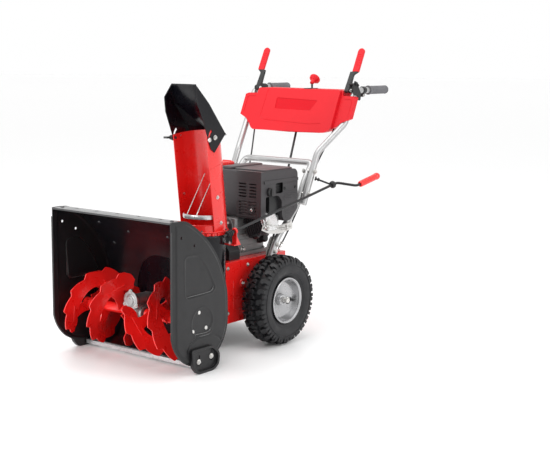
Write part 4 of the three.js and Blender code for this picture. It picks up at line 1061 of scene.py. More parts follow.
def make_wheels():
    middle, outer, inner = tyre_profile()
    pitch = 360 / LUG_COUNT
    for name, side in SIDES:
        at = (side * middle, AXLE_Y, AXLE_Z)
        carcass = lathe(outer + inner, at, (side, 0, 0), 96)
        make(f"tyre_{name}_carcass", carcass, TYRE, [f"tyre_{name}"], "wheels", smooth=40)
        tread = Shape()
        for k in range(LUG_COUNT):
            turn = k * pitch
            tread += lug(side, CENTRE_LUG, turn)
            tread += lug(side, [(-w * 0.9 - 3, a + 6.9) for w, a in CENTRE_LUG], turn, 17)
            for hand in (1, -1):
                shift = turn + (3.4 if hand > 0 else -3.5)
                tread += lug(side, [(hand * w, a) for w, a in SHOULDER_LUG], shift, 19)
                tread += lug(side, [(hand * w, a) for w, a in EDGE_LUG], shift, 19)
        make(f"tyre_{name}_lugs", tread, TYRE, body="wheels", bevel=1.1, weld=False)
        beads = Shape()
        for radius, out in ((102, 46.2), (118, 50.2), (134, 51.6)):
            ring = [(radius - 1.2, out - 1.5), (radius + 1.2, out - 1.5), (radius + 0.7, out + 0.8),
                    (radius - 0.7, out + 0.8)]
            beads += lathe(ring, at, (side, 0, 0), 96)
        make(f"tyre_{name}_beads", beads, TYRE, body="wheels")
        dish = [(9.8, 23.5), (18.5, 23.5), (20, 22), (20, 5), (26, 3.5), (40, 7), (58, 10.5), (66, 13),
                (71, 20),
                (73, 30), (76, 35), (77, 41), (80.5, 45.2), (83.5, 46.2), (86, 44), (85.4, 42), (82.5, 43),
                (79.5, 40), (78, 34), (76, 26), (74.5, 20), (73, 10), (72, 0), (74, -26), (76, -34),
                (79, -39), (82.5, -43), (85.4, -42), (86, -44), (83.5, -46.2), (80, -45), (76, -40), (73,
                                                                                                      -36),
                (68, -30), (68, 0), (62, 6), (40, 2), (20, -4), (20, -26), (9.8, -26)]
        make(f"rim_{name}_pressing", lathe(dish, at, (side, 0, 0), 96), RIM, [f"rim_{name}"], "wheels",
             bevel=0.3, smooth=38)
        weld = lathe([(19.5, 4), (23.5, 4.5), (22.8, 6.8), (20.8, 8), (19.5, 8)], at, (side, 0, 0), 48)
        make(f"rim_{name}_weld", weld, CAST, body="wheels")
        make_wheel_fittings(name, side, middle)


def make_wheel_fittings(name, side, middle):
    """The pin that locks the wheel to the axle, its cap and wire loop, and the tyre valve."""
    x = side * (middle + 33)
    end = lathe([(0, 0), (9.4, 0), (9.4, 1), (8.4, 2.2), (3.5, 2.2), (3, 1), (0, 1)],
                (side * (middle + 45.2), AXLE_Y, AXLE_Z), (side, 0, 0), 32)
    make(f"axle_end_{name}", end, ZINC, body="wheels")
    out = Vector((0, 0.86, -0.5))
    centre = Vector((x, AXLE_Y, AXLE_Z))
    make(f"wheel_pin_{name}", sweep([centre - out * 17, centre + out * 14], 3.2, 16), ZINC, body="wheels",
         bevel=0.6)
    cap = lathe([(0, 0), (7, 0), (8.5, 2), (8.5, 7), (6, 10), (0, 10)], centre + out * 12, out, 24)
    tab = sweep([centre + out * 15, centre + out * 15 + Vector((side * 9, 4, 3))], 5, 12)
    make(f"wheel_pin_cap_{name}", cap + tab, BLACK_PLASTIC, body="wheels", bevel=0.8, weld=False)
    loop = [centre + out * 13 * math.cos(t) + Vector((side * 10 * math.sin(t), 0, 0)) * 1.2
            + Vector((0, 0.5, 0.86)) * 12 * math.sin(t) for t in np.linspace(0.15, math.pi, 18)]
    make(f"wheel_pin_wire_{name}", sweep(loop, 1.3, 8), ZINC, body="wheels")
    foot = Vector((side * (middle + 12), AXLE_Y + 58, AXLE_Z - 9))
    lean = Vector((side * 0.95, -0.3, 0.04))
    stem = lathe([(0, 0), (7.5, 0), (7, 3), (4.6, 5), (4.2, 14), (0, 14)], foot, lean, 24)
    lid = lathe([(0, 13), (5.2, 13), (5.6, 14), (5.6, 21), (4.6, 23), (0, 23)], foot, lean, 12)
    make(f"tyre_valve_{name}", stem + lid, BLACK_PLASTIC, body="wheels", bevel=0.4, weld=False)


# ---------------------------------------------------------------- engine
CRANK_Z = 424  # height of the crankshaft
FILLER_X, FILLER_Y = -70, 700  # middle of the fuel cap


def make_crankcase():
    low = prism(rounded_rectangle(-92, 92, 556, 736, 16), "z", 330, 462)
    high = prism(rounded_rectangle(-92, 92, 606, 736, 14), "z", 455, 505)
    foot = prism(rounded_rectangle(-104, 104, 552, 740, 10), "z", 318.4, 332)
    neck = pipe(13, 34, 20, (0, 541, CRANK_Z), Y_AXIS, 48)
    make("crankcase_casting", low, CAST, ["crankcase"], bevel=3.0, segments=3)
    make("crankcase_top", high, CAST, bevel=3.0, segments=3)
    make("crankcase_foot", foot, CAST, bevel=1.5)
    make("crankcase_seal", neck, CAST, bevel=1.0)
    ribs = Shape()
    for z in (352, 374, 396):
        ribs += prism(rounded_rectangle(-93.5, 93.5, 554.5, 737.5, 16), "z", z, z + 4)
    for x in (-60, -30, 30, 60):
        ribs += block(x - 2, x + 2, 548, 560, 336, 450)
    make("crankcase_ribs", ribs, CAST, bevel=0.9, weld=False)
    flange = [(84 * math.cos(t), CRANK_Z + 76 * math.sin(t) * 0.9)
              for t in np.linspace(0, 2 * math.pi, 40, endpoint=False)]
    cover = prism([(x, max(334, min(458, z))) for x, z in flange], "y", 550, 557)
    make("crankcase_side_cover", cover, CAST, bevel=1.5)
    bolts = Shape()
    for k in range(6):
        t = math.pi / 6 + k * math.pi / 3
        bolts += hex_bolt((70 * math.cos(t), 550, 418 + 50 * math.sin(t)), -Y_AXIS, 5, 4.5, 6.5)
    for x in (-94, 94):
        for y in (572, 722):
            bolts += hex_bolt((x, y, 332), Z_AXIS, 6, 5, 9)
    bolts += hex_bolt((60, 552, 345), -Y_AXIS, 8, 6, 10)
    make("crankcase_bolts", bolts, ZINC)
    filler = lathe([(0, 0), (15, 0), (15, 6), (13, 8), (13, 20), (16, 22), (16, 30), (14, 33), (0, 33)],
                   (92, 700, 366), (1, 0, 0.35), 18)
    make("oil_filler", filler, BLACK_PLASTIC, bevel=0.8)
    drain = hex_bolt((92, 600, 342), X_AXIS, 8, 8, 10)
    make("oil_drain", drain, ZINC)


CYLINDER_TURN = Matrix.Translation((50, 0, 400)) @ Matrix.Rotation(math.radians(-22), 4, "Y")


def make_cylinder():
    core = prism(rounded_rectangle(612, 686, -30, 30, 12), "x", 52, 132)
    fins = Shape()
    for i in range(8):
        x = 57 + 9.6 * i
        fins += prism(rounded_rectangle(602 + (i % 2), 696 - (i % 2), -40, 40, 12), "x", x, x + 2.4)
    make("cylinder_core", core.moved(CYLINDER_TURN), IRON, ["cylinder_block"], bevel=1.0)
    make("cylinder_fins", fins.moved(CYLINDER_TURN), ENGINE_BLACK, bevel=0.5)
    cover = prism(rounded_rectangle(608, 690, -36, 36, 16), "x", 132.4, 146)
    crown = prism(rounded_rectangle(615, 683, -29, 29, 12), "x", 145, 152)
    lip = prism(rounded_rectangle(606.5, 691.5, -37.5, 37.5, 17), "x", 132.4, 136)
    make("valve_cover_pressing", cover.moved(CYLINDER_TURN), CHROME, ["valve_cover"], bevel=3.5, segments=4)
    make("valve_cover_crown", crown.moved(CYLINDER_TURN), CHROME, bevel=2.5, segments=3)
    make("valve_cover_lip", lip.moved(CYLINDER_TURN), CHROME, bevel=0.8)
    bolts = Shape()
    for y, z in ((618, -27), (618, 27), (680, -27), (680, 27)):
        bolts += hex_bolt((146, y, z), X_AXIS, 5, 5, 7)
    make("valve_cover_bolts", bolts.moved(CYLINDER_TURN), ZINC, weld=False)
    lead = rounded_path([(150, 600, 395), (172, 596, 402), (186, 604, 430), (186, 640, 448)], 14)
    boot = lathe([(0, 0), (9, 0), (9, 16), (7, 24), (0, 24)], (147, 600, 394), (0.95, -0.05, 0.3), 20)
    make("spark_lead", sweep(lead, 3.4, 12), CABLE)
    make("spark_boot", boot, BLACK_PLASTIC, bevel=0.8)


UPPER_LOUVRES = [544 + 11.6 * k for k in range(5)]
LOWER_LOUVRES = [480 + 10.6 * k for k in range(5)]


def make_side_cover():
    """The box over the carburettor side, with the louvred muffler guard at its front corner."""
    side = [(589, 466), (589, 632), (596, 640), (780, 640), (795, 626), (797, 488), (750, 446), (712, 446),
            (700, 470), (697, 526), (676, 546), (603, 546), (601, 540), (601, 466)]
    shell = prism(rounded_outline(side, 9, 4), "x", -16, 200)
    guard = prism([(84, 466), (84, 640), (200, 640), (200, 466)], "y", 572, 601)
    body = raw_object("side_cover_work", shell)
    boolean(body, guard, "UNION")
    inner = [(593, 462), (593, 628), (598, 636), (778, 636), (791, 624), (793, 491), (748, 450), (716, 450),
             (704, 470), (701, 530), (678, 550), (604, 550), (597, 544), (597, 462)]
    boolean(body, prism(rounded_outline(inner, 7, 4), "x", -20, 196))
    boolean(body, prism([(88, 462), (88, 636), (196, 636), (196, 462)], "y", 576, 605))
    boolean(body, prism(rounded_rectangle(660, 704, 554, 594, 7), "x", 190, 205))
    boolean(body, block(-30, 104, 690, 800, 400, 536))
    for x0, x1, rows in ((95, 131, UPPER_LOUVRES), (145, 178, UPPER_LOUVRES), (95, 134, LOWER_LOUVRES),
                         (142, 178, LOWER_LOUVRES)):
        for z in rows:
            boolean(body, prism(rounded_rectangle(x0, x1, z, z + 5.6, 2.2, 3), "y", 565, 590))
    finished(body, "side_cover_shell", ENGINE_BLACK, ["side_cover", "muffler_guard"], bevel=3.0, segments=3)
    blades = Shape()
    for x0, x1, rows in ((93, 133, UPPER_LOUVRES), (143, 180, UPPER_LOUVRES), (93, 136, LOWER_LOUVRES),
                         (140, 180, LOWER_LOUVRES)):
        for z in rows:
            blades += prism([(573.5, z + 4.6), (575, z + 5.4), (584, z - 1.6), (582.5, z - 2.6)], "x", x0,
                            x1)
    make("louvre_blades", blades, ENGINE_BLACK, bevel=0.4, weld=False)
    frame_line = rounded_outline([(88, 474), (88, 532), (188, 532), (188, 474)], 10)
    panel = sweep([(x, 572, z) for x, z in frame_line + frame_line[:1]], 1.6, 8)
    boss = lathe([(0, 0), (14, 0), (13, 3.5), (11, 4), (10, 2), (0, 2)], (156, 572.5, 497), -Y_AXIS, 40)
    make("guard_border", panel, ENGINE_BLACK)
    make("guard_boss", boss, ENGINE_BLACK, bevel=0.6)
    make("guard_boss_screw", screw((156, 570.5, 497), -Y_AXIS, 6), ZINC)
    ledges = Shape()
    for z0, z1, lift in ((594, 606, 3.2), (586, 588.5, 1.2)):
        y0 = 590 if z1 > 600 else 716
        ledges += prism([(y0, z0), (y0, z1), (796, z1), (796, z0)], "x", 196, 200 + lift)
    for k in range(4):
        ledges += prism([(712, 556 - 9 * k), (712, 558.5 - 9 * k), (790, 558.5 - 9 * k),
                         (790, 556 - 9 * k)],
                        "x", 198, 201.2)
        ledges += prism([(722, 492 - 11 * k), (722, 494.5 - 11 * k), (782 - 10 * k, 494.5 - 11 * k),
                         (782 - 10 * k, 492 - 11 * k)], "x", 198, 201.2)
    make("side_cover_ledges", ledges, ENGINE_BLACK, bevel=0.9, weld=False)
    crown = prism(rounded_rectangle(40, 194, 600, 782, 22), "z", 637, 645)
    hump = prism(rounded_rectangle(-10, 46, 596, 786, 16), "z", 637, 650)
    make("side_cover_crown", crown, ENGINE_BLACK, bevel=4.0, segments=4)
    make("side_cover_hump", hump, ENGINE_BLACK, bevel=6.0, segments=4)
    recess = Shape()
    for y in (715, 779):
        recess += screw((200.5, y, 570), X_AXIS, 5.5)
    make("side_cover_screws", recess, BLACK_PLASTIC)
    inside = block(120, 186, 640, 730, 480, 600)
    bars = joined(block(186, 189, 662, 702, z, z + 4) for z in (560, 570, 580))
    make("air_box", inside, BLACK_PLASTIC, bevel=2.0)
    make("air_box_bars", bars, BLACK_PLASTIC, bevel=0.6)
    knob = lathe([(0, 0), (15.5, 0), (15.5, 6), (14, 9), (0, 9)], (200.4, 622, 563), X_AXIS, 40)
    wing = prism(rounded_rectangle(619, 625, 549, 577, 2.8), "x", 207, 214)
    serrations = joined(
        block(200.8, 207.5, 622 + 15.4 * math.cos(t) - 0.9, 622 + 15.4 * math.cos(t) + 0.9,
              563 + 15.4 * math.sin(t) - 0.9, 563 + 15.4 * math.sin(t) + 0.9)
        for t in np.linspace(0, 2 * math.pi, 24, endpoint=False))
    make("choke_knob_body", knob + wing + serrations, BLACK_PLASTIC, ["choke_knob"], "choke_knob",
         bevel=0.5,
         weld=False)


def make_exhaust():
    can = prism(rounded_rectangle(478, 542, 100, 186, 14), "y", 577, 601)
    can = Shape([(p.z, p.y, p.x) for p in can.points], can.faces)
    seam = prism(rounded_rectangle(98, 188, 476, 544, 15), "y", 588, 590)
    make("muffler_can", can, CAST, ["muffler"], bevel=2.0, segments=3)
    make("muffler_seam", seam, CAST, bevel=0.5)
    plate = [(600, 437), (640, 421), (700, 414), (752, 418), (766, 430)]
    path = [(186, y, z) for y, z in rounded_path_2d(plate, 10)]
    shroud = sweep(path, 1, section=[(-16, -1), (16, -1), (16, 1), (-16, 1)], up=X_AXIS)
    make("lower_shroud", shroud, ZINC, bevel=0.8)
    arm = rounded_path([(200, 604, 452), (200, 640, 436), (200, 690, 428), (200, 748, 436)], 12)
    rod_shape = sweep(arm, 2.4, 10)
    lever = prism(rounded_outline([(606, 440), (622, 462), (640, 446), (628, 424)], 6), "x", 196, 198.5)
    back = prism(rounded_outline([(742, 404), (742, 432), (776, 440), (780, 408)], 7), "x", 188, 191)
    make("throttle_link", rod_shape, ZINC)
    make("throttle_lever", lever, ZINC, bevel=0.6)
    make("throttle_bracket", back, ZINC, bevel=0.8)
    coil = [(200 + 4 * math.cos(t), 690 + t * 1.1, 418 + 4 * math.sin(t)) for t in np.linspace(0, 44, 260)]
    make("throttle_spring", sweep(coil, 0.9, 6), ZINC)
    bolts = hex_bolt((199, 616, 446), X_AXIS, 4, 3, 5.5) + hex_bolt((191.4, 762, 420), X_AXIS, 4.5, 3.5,
                                                                    6.5)
    make("throttle_bolts", bolts, ZINC, weld=False)
    carb = prism(rounded_rectangle(632, 700, 432, 470, 8), "x", 150, 184)
    make("carburettor", carb, CAST, bevel=2.0)


def rounded_path_2d(points, bend):
    path = rounded_path([(0, y, z) for y, z in points], bend)
    return [(p.y, p.z) for p in path]


def make_tank():
    shape = prism(rounded_rectangle(-168, -20, 520, 632, 20), "y", 592, 792)
    dome = prism(rounded_rectangle(-160, -28, 604, 780, 26), "z", 628, 641)
    seam = prism(rounded_rectangle(-170, -18, 518, 630, 20), "y", 688, 693)
    neck = rod(21, 18, (FILLER_X, FILLER_Y, 622), Z_AXIS, 48)
    mouth = rod(15, 40, (FILLER_X, FILLER_Y, 610), Z_AXIS, 32)
    make("fuel_tank_shell", shape, ENGINE_BLACK, ["fuel_tank"], bevel=5.0, segments=4, cutters=[mouth])
    make("fuel_tank_dome", dome, ENGINE_BLACK, bevel=6.0, segments=4, cutters=[mouth])
    make("fuel_tank_seam", seam, ENGINE_BLACK, bevel=0.8)
    make("fuel_tank_neck", neck, BLACK_PLASTIC, bevel=0.8, cutters=[mouth])
    at = (FILLER_X, FILLER_Y, 636.5)
    lid = lathe([(0, 0), (26, 0), (26.5, 1), (27, 15), (25, 18.5), (21, 20), (0, 20)], at, Z_AXIS, 64)
    grip_ribs = Shape()
    for k in range(20):
        t = 2 * math.pi * k / 20
        centre = Vector((FILLER_X + 26.8 * math.cos(t), FILLER_Y + 26.8 * math.sin(t), 638))
        grip_ribs += sweep([centre, centre + Vector((0, 0, 14.5))], 1.5, 8)
    bar = prism(rounded_rectangle(-91, -49, 696, 704, 3.9), "z", 655, 660)
    make("fuel_cap_lid", lid, RED, ["fuel_cap"], "fuel_cap", bevel=0.8)
    make("fuel_cap_ribs", grip_ribs, RED, body="fuel_cap")
    make("fuel_cap_bar", bar, RED, body="fuel_cap", bevel=1.4)


PULL = Vector((-45, 804, 470))


def make_recoil():
    at = (0, 736.4, CRANK_Z)
    shell = lathe([(0, 0), (92, 0), (96, 6), (96, 34), (92, 44), (84, 52), (62, 57), (40, 60), (0, 60)],
                  at, Y_AXIS, 96)
    hollow = lathe([(0, -5), (90, -5), (93, 6), (93, 33), (89, 42), (82, 49), (60, 54), (38, 57), (0, 57)],
                   at, Y_AXIS, 96)
    body = raw_object("recoil_work", shell)
    boolean(body, hollow)
    for k in range(12):
        a = 2 * math.pi * k / 12
        slot = prism(rounded_rectangle(50, 80, -5, 5, 4.8, 4), "z", -30, 30)
        turn = Matrix.Rotation(-a, 4, "Y") @ Matrix.Rotation(math.pi / 2, 4, "X")
        if abs(math.cos(a) + 0.7) < 0.25 and math.sin(a) > 0:
            continue
        boolean(body, slot.moved(Matrix.Translation((0, 790, CRANK_Z)) @ turn))
    hole = sweep([(PULL.x, 770, PULL.z), (PULL.x, 820, PULL.z)], 7, 24)
    boolean(body, hole)
    finished(body, "recoil_cover_shell", ENGINE_BLACK, ["recoil_cover"], bevel=0.9)
    collar = lathe([(5, 0), (11, 0), (11, 8), (8, 10), (5, 10)], (PULL.x, 786, PULL.z), Y_AXIS, 32)
    make("rope_collar", collar, BLACK_PLASTIC, bevel=0.6)
    fan = rod(78, 4, (0, 748, CRANK_Z), Y_AXIS, 64)
    drum = lathe([(0, 0), (40, 0), (40, 22), (36, 24), (0, 24)], (0, 752, CRANK_Z), Y_AXIS, 48)
    make("recoil_fan", fan, IRON, bevel=0.5)
    make("recoil_drum", drum, BLACK_PLASTIC, bevel=1.0)
    bolts = Shape()
    for k in range(4):
        a = math.radians(45 + 90 * k)
        bolts += hex_bolt((90 * math.cos(a), 771.5, CRANK_Z + 90 * math.sin(a)),
                          Vector((math.cos(a) * 0.3, 1, 0)),
                          3.6, 3, 5)
    make("recoil_bolts", bolts, ZINC)
    bar = prism(rounded_outline([(-34, -7), (-30, 9), (30, 9), (34, -7), (12, -9), (-12, -9)], 5), "y", 0,
                16)
    tab = prism(rounded_rectangle(-8, 8, -8, 8, 4), "y", -6, 3)
    place_at = Matrix.Translation(PULL)
    make("starter_bar", (bar + tab).moved(place_at), BLACK_PLASTIC, ["starter_handle"], "starter_handle",
         bevel=1.6, segments=3, weld=False)
    ribs = joined(block(x - 1.2, x + 1.2, 15, 17.4, -6, 6) for x in (-24, -18, 18, 24))
    make("starter_ribs", ribs.moved(place_at), BLACK_PLASTIC, body="starter_handle", bevel=0.5)
    near, far = Vector((PULL.x, 762, PULL.z)), PULL + Vector((0, -4, 0))
    stations = [near + (far - near) * k / 8 for k in range(9)]
    rope = make("starter_rope", sweep(stations, 2.2, 12), GRIP, body=None)
    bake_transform(rope)


# ---------------------------------------------------------------- chute
CHUTE_HALF, CHUTE_BOTTOM, CHUTE_LEAN = 80, 441, 0.126
CHUTE_FRONT, CHUTE_CENTRE_Y = 346, 386


def leaning(y, z):
    return y - CHUTE_LEAN * (z - CHUTE_BOTTOM)


def chute_u(r, front, steps=28):
    return [(CHUTE_X + r, front)] + arc(CHUTE_X, CHUTE_CENTRE_Y, r, 0, 180, steps) + [(CHUTE_X - r, front)]


def make_chute():
    outline = chute_u(CHUTE_HALF, CHUTE_FRONT) + chute_u(CHUTE_HALF - 2.5, CHUTE_FRONT)[::-1]
    sheet = prism(outline, "z", CHUTE_BOTTOM, 840)
    sheet = Shape([(p.x, leaning(p.y, p.z), p.z) for p in sheet.points], sheet.faces)
    above = prism([(200, 775), (303, 783), (520, 810), (520, 900), (200, 900)], "x", -20, 200)
    bolts = [rod(4.4, 220, (-16, y, z), X_AXIS, 24)
             for y, z in (HOOD_PIVOT, HOOD_LOCK)]
    make("chute_sheet", sheet, RED, ["chute"], "chute", bevel=0.5, cutters=[above] + bolts)
    hems, creases, screws = Shape(), Shape(), Shape()
    for side in (1, -1):
        x = CHUTE_X + side * (CHUTE_HALF - 1.5)
        hems += sweep([(x, leaning(CHUTE_FRONT, z), z) for z in (CHUTE_BOTTOM + 1, 600, 779)], 1.6, 12)
        x = CHUTE_X + side * CHUTE_HALF
        for (y0, z0), (y1, z1) in (((322, 669), (377, 682)), ((341, 575), (387, 586)),
                                   ((350, 477), (378, 485))):
            start, end = Vector((x, y0, z0)), Vector((x, y1, z1))
            # Known fault: with points at its ends only, all of it has its ends' radius of 0.9 mm.
            creases += sweep([start, end], 2.2, 12, taper=lambda t: 1 - 0.6 * abs(2 * t - 1) ** 3)
        for y, z in ((359, 567), (378, 475)):
            screws += hex_bolt((x, y, z), (side, 0, 0), 5, 4, 7)
            screws += rod(5, 4, (x - side * 2.5, y, z), (-side, 0, 0), 6)
    make("chute_hems", hems, RED, body="chute")
    make("chute_creases", creases, RED, body="chute")
    make("chute_screws", screws, ZINC, body="chute", weld=False)
    ring = lathe([(72, 441), (86, 441), (87, 442), (87, 444), (86, 445), (72, 445)],
                 (CHUTE_X, CHUTE_Y, 0), Z_AXIS, 96)
    lip = lathe([(77, 441), (80, 441), (80, 466), (81.5, 467), (79.5, 468.5), (77, 467)],
                (CHUTE_X, CHUTE_Y, 0), Z_AXIS, 96)
    behind = block(CHUTE_X - 100, CHUTE_X + 100, CHUTE_Y - 26, 520, 446, 480)
    make("chute_base_ring", ring, RED, body="chute", bevel=0.5)
    make("chute_base_lip", lip, RED, body="chute", bevel=0.5, cutters=[behind])
    ring_bolts = Shape()
    for angle in (235, 270, 305, 20, 90, 160):
        a = math.radians(angle)
        at = (CHUTE_X + 82.5 * math.cos(a), CHUTE_Y + 82.5 * math.sin(a), 445)
        ring_bolts += hex_bolt(at, Z_AXIS, 3.2, 2.5, 4)
    make("chute_ring_bolts", ring_bolts, IRON, body="chute")
    outline = []
    teeth = 26
    for i in range(teeth):
        for r, share in ((84, -0.36), (85, -0.26), (90, -0.14), (90.3, 0.0), (90, 0.14), (85, 0.26),
                         (84, 0.36)):
            a = (i + share) / teeth * 2 * math.pi
            outline.append((CHUTE_X + r * math.cos(a), CHUTE_Y + r * math.sin(a)))
    bore = rod(72, 40, (CHUTE_X, CHUTE_Y, 420), Z_AXIS, 64)
    make("chute_gear", prism(outline, "z", 430.5, 440.5), RED, ["chute_ring"], "chute", bevel=0.7,
         cutters=[bore])
    make_guard()


def make_guard():
    low, r = 488, CHUTE_HALF - 4
    y = leaning(CHUTE_CENTRE_Y, low)
    points = []
    angles = np.radians(np.linspace(205, 335, 40))
    for a in angles:
        for radius, up in ((r, 0), (r + 1.2, 7.5), (r, 15), (r - 2.4, 15), (r - 1.2, 7.5), (r - 2.4, 0)):
            points.append((CHUTE_X + radius * math.cos(a), y + radius * math.sin(a), low + up))
    last = (len(angles) - 1) * 6
    ends = [tuple(range(6)), tuple(last + k for k in reversed(range(6)))]
    make("guard_band", Shape(points, ring_faces(len(angles), 6) + ends), GALVANISED, ["chute_guard"],
         "chute", bevel=0.3)
    wires = Shape()
    for dx in (-22, 22):
        foot = Vector((CHUTE_X + dx, y - r + 5, low + 8))
        head = Vector((CHUTE_X + dx, CHUTE_CENTRE_Y + 22, 640))
        wires += sweep([foot + Vector((0, -3, -4)), foot, head], 2.2, 12)
        wires += rod(5, 2.5, foot + Vector((0, -2.5, -2)), -Y_AXIS, 16)
    make("guard_wires", wires, ZINC, body="chute", weld=False)
    rivets = Shape()
    for a in (207, 333):
        t = math.radians(a)
        rivets += dome_bolt((CHUTE_X + (r - 2.2) * math.cos(t), y + (r - 2.2) * math.sin(t), low + 7.5),
                            Vector((-math.cos(t), -math.sin(t), 0)), 5, 2.5)
    make("guard_rivets", rivets, ZINC, body="chute")


HOOD = {
    "top": (56, 272, 961), "lip": (72, 252, 915), "front": (83, 269, 865), "fold": (83, 309, 898),
    "low": (83, 322, 738), "heel": (83, 338, 727), "rear": (83, 397, 790), "skirt": (30, 464, 779),
}
HOOD_PIVOT, HOOD_LOCK, HOOD_TRAVEL = (341, 778), (312, 771), 60


def make_hood():
    names = list(HOOD)
    points = [(CHUTE_X + side * HOOD[n][0], HOOD[n][1], HOOD[n][2]) for side in (1, -1) for n in names]
    index = {(n, side): (0 if side > 0 else len(names)) + names.index(n) for n in names for side in (1, -1)}
    faces = []
    for side in (1, -1):
        for corners in (("front", "fold", "rear", "heel", "low"), ("top", "lip", "front"),
                        ("top", "front", "fold"), ("fold", "rear", "skirt")):
            face = [index[(c, side)] for c in corners]
            faces.append(face if side > 0 else face[::-1])
    for a, b in (("top", "fold"), ("fold", "skirt")):
        faces.append([index[(a, 1)], index[(a, -1)], index[(b, -1)], index[(b, 1)]])
    body = raw_object("hood_work", Shape(points, faces))
    modifier = body.modifiers.new("thickness", "SOLIDIFY")
    modifier.thickness = 2.4 * MM
    modifier.offset = -1.0
    modifier.use_even_offset = True
    evaluated = body.evaluated_get(bpy.context.evaluated_depsgraph_get())
    solid = bpy.data.meshes.new_from_object(evaluated)
    body.modifiers.clear()
    body.data = solid
    reach = math.hypot(HOOD_LOCK[0] - HOOD_PIVOT[0], HOOD_LOCK[1] - HOOD_PIVOT[1])
    start = math.degrees(math.atan2(HOOD_LOCK[1] - HOOD_PIVOT[1], HOOD_LOCK[0] - HOOD_PIVOT[0])) + 360
    first, last = start + 9, start - HOOD_TRAVEL - 9
    slot = (arc(*HOOD_PIVOT, reach + 4.7, first, last, 20) + arc(*HOOD_PIVOT, reach - 4.7, last, first, 20))
    boolean(body, prism(slot, "x", CHUTE_X - 100, CHUTE_X + 100))
    boolean(body, rod(4.4, 200, (CHUTE_X - 100, *HOOD_PIVOT), X_AXIS, 24))
    finished(body, "hood_sheet", HOOD_BLACK, ["deflector"], "deflector", bevel=0.8, segments=3, smooth=24)
    hem = Shape()
    for side in (1, -1):
        line = [Vector((CHUTE_X + side * (HOOD[n][0] - 0.6), HOOD[n][1], HOOD[n][2]))
                for n in ("top", "lip", "front", "low", "heel", "rear", "skirt")]
        hem += sweep(line, 1.9, 10)
    line = [Vector((CHUTE_X + x, HOOD["top"][1], HOOD["top"][2] - 0.5)) for x in (56, -56)]
    hem += sweep(line, 1.9, 10)
    line = [Vector((CHUTE_X + x, HOOD["skirt"][1], HOOD["skirt"][2])) for x in (30, -30)]
    hem += sweep(line, 1.9, 10)
    make("hood_hems", hem, HOOD_BLACK, body="deflector", weld=False)
    top, fold, skirt = (Vector((CHUTE_X, HOOD[n][1], HOOD[n][2])) for n in ("top", "fold", "skirt"))
    # Known fault: with points at its ends only, where the taper is 0, a rib has no thickness.
    rib = sweep([top.lerp(fold, 0.12), top.lerp(fold, 0.9)], 3.2, 12,
                taper=lambda t: 1 - abs(2 * t - 1) ** 4)
    rib += sweep([fold.lerp(skirt, 0.12), fold.lerp(skirt, 0.85)], 3.2, 12,
                 taper=lambda t: 1 - abs(2 * t - 1) ** 4)
    make("hood_ribs", rib, HOOD_BLACK, body="deflector", weld=False)
    pivots = Shape()
    for side in (1, -1):
        x = CHUTE_X + side * 83.4
        pivots += hex_bolt((x, *HOOD_PIVOT), (side, 0, 0), 6.5, 5, 9)
    make("hood_pivot_bolts", pivots, ZINC, body="chute", weld=False)
    head = dome_bolt((CHUTE_X + 83.4, *HOOD_LOCK), X_AXIS, 8.5, 4)
    make("hood_lock_bolt", head, ZINC, body="chute")
    pins = Shape()
    for side in (1, -1):
        pins += rod(4, 8, (CHUTE_X + side * 76, *HOOD_PIVOT), (side, 0, 0), 16)
    make("hood_pivot_pins", pins, ZINC, body="chute")
    foot = Vector((CHUTE_X - 83.4, *HOOD_LOCK))
    hub = lathe([(0, 0), (11, 0), (11, 2), (9, 12), (8, 16), (0, 16)], foot, -X_AXIS, 32)
    wing = prism(rounded_outline([(foot.x - 31, foot.y - 24), (foot.x - 24, foot.y - 7),
                                  (foot.x - 24, foot.y + 7),
                                  (foot.x - 31, foot.y + 24), (foot.x - 14, foot.y + 20),
                                  (foot.x - 9, foot.y + 8), (foot.x - 9, foot.y - 8),
                                  (foot.x - 14, foot.y - 20)], 5), "z", foot.z - 3.5, foot.z + 3.5)
    stud = rod(3.9, 12, foot + Vector((-1, 0, 0)), X_AXIS, 20)
    make("wing_knob", hub + wing + stud, BLACK_PLASTIC, ["deflector_knob"], "deflector_knob", bevel=1.2,
         segments=3, weld=False)


# ---------------------------------------------------------------- chute crank
WORM, EYE = Vector((200, 395, 437)), Vector((265, 935, 570))
CRANK_AXIS = (EYE - WORM).normalized()
CRANK_END = EYE + CRANK_AXIS * 24
CRANK_SIDE = (X_AXIS - CRANK_AXIS * CRANK_AXIS.x).normalized()
CRANK_ARM, CRANK_PIN = 102, 120


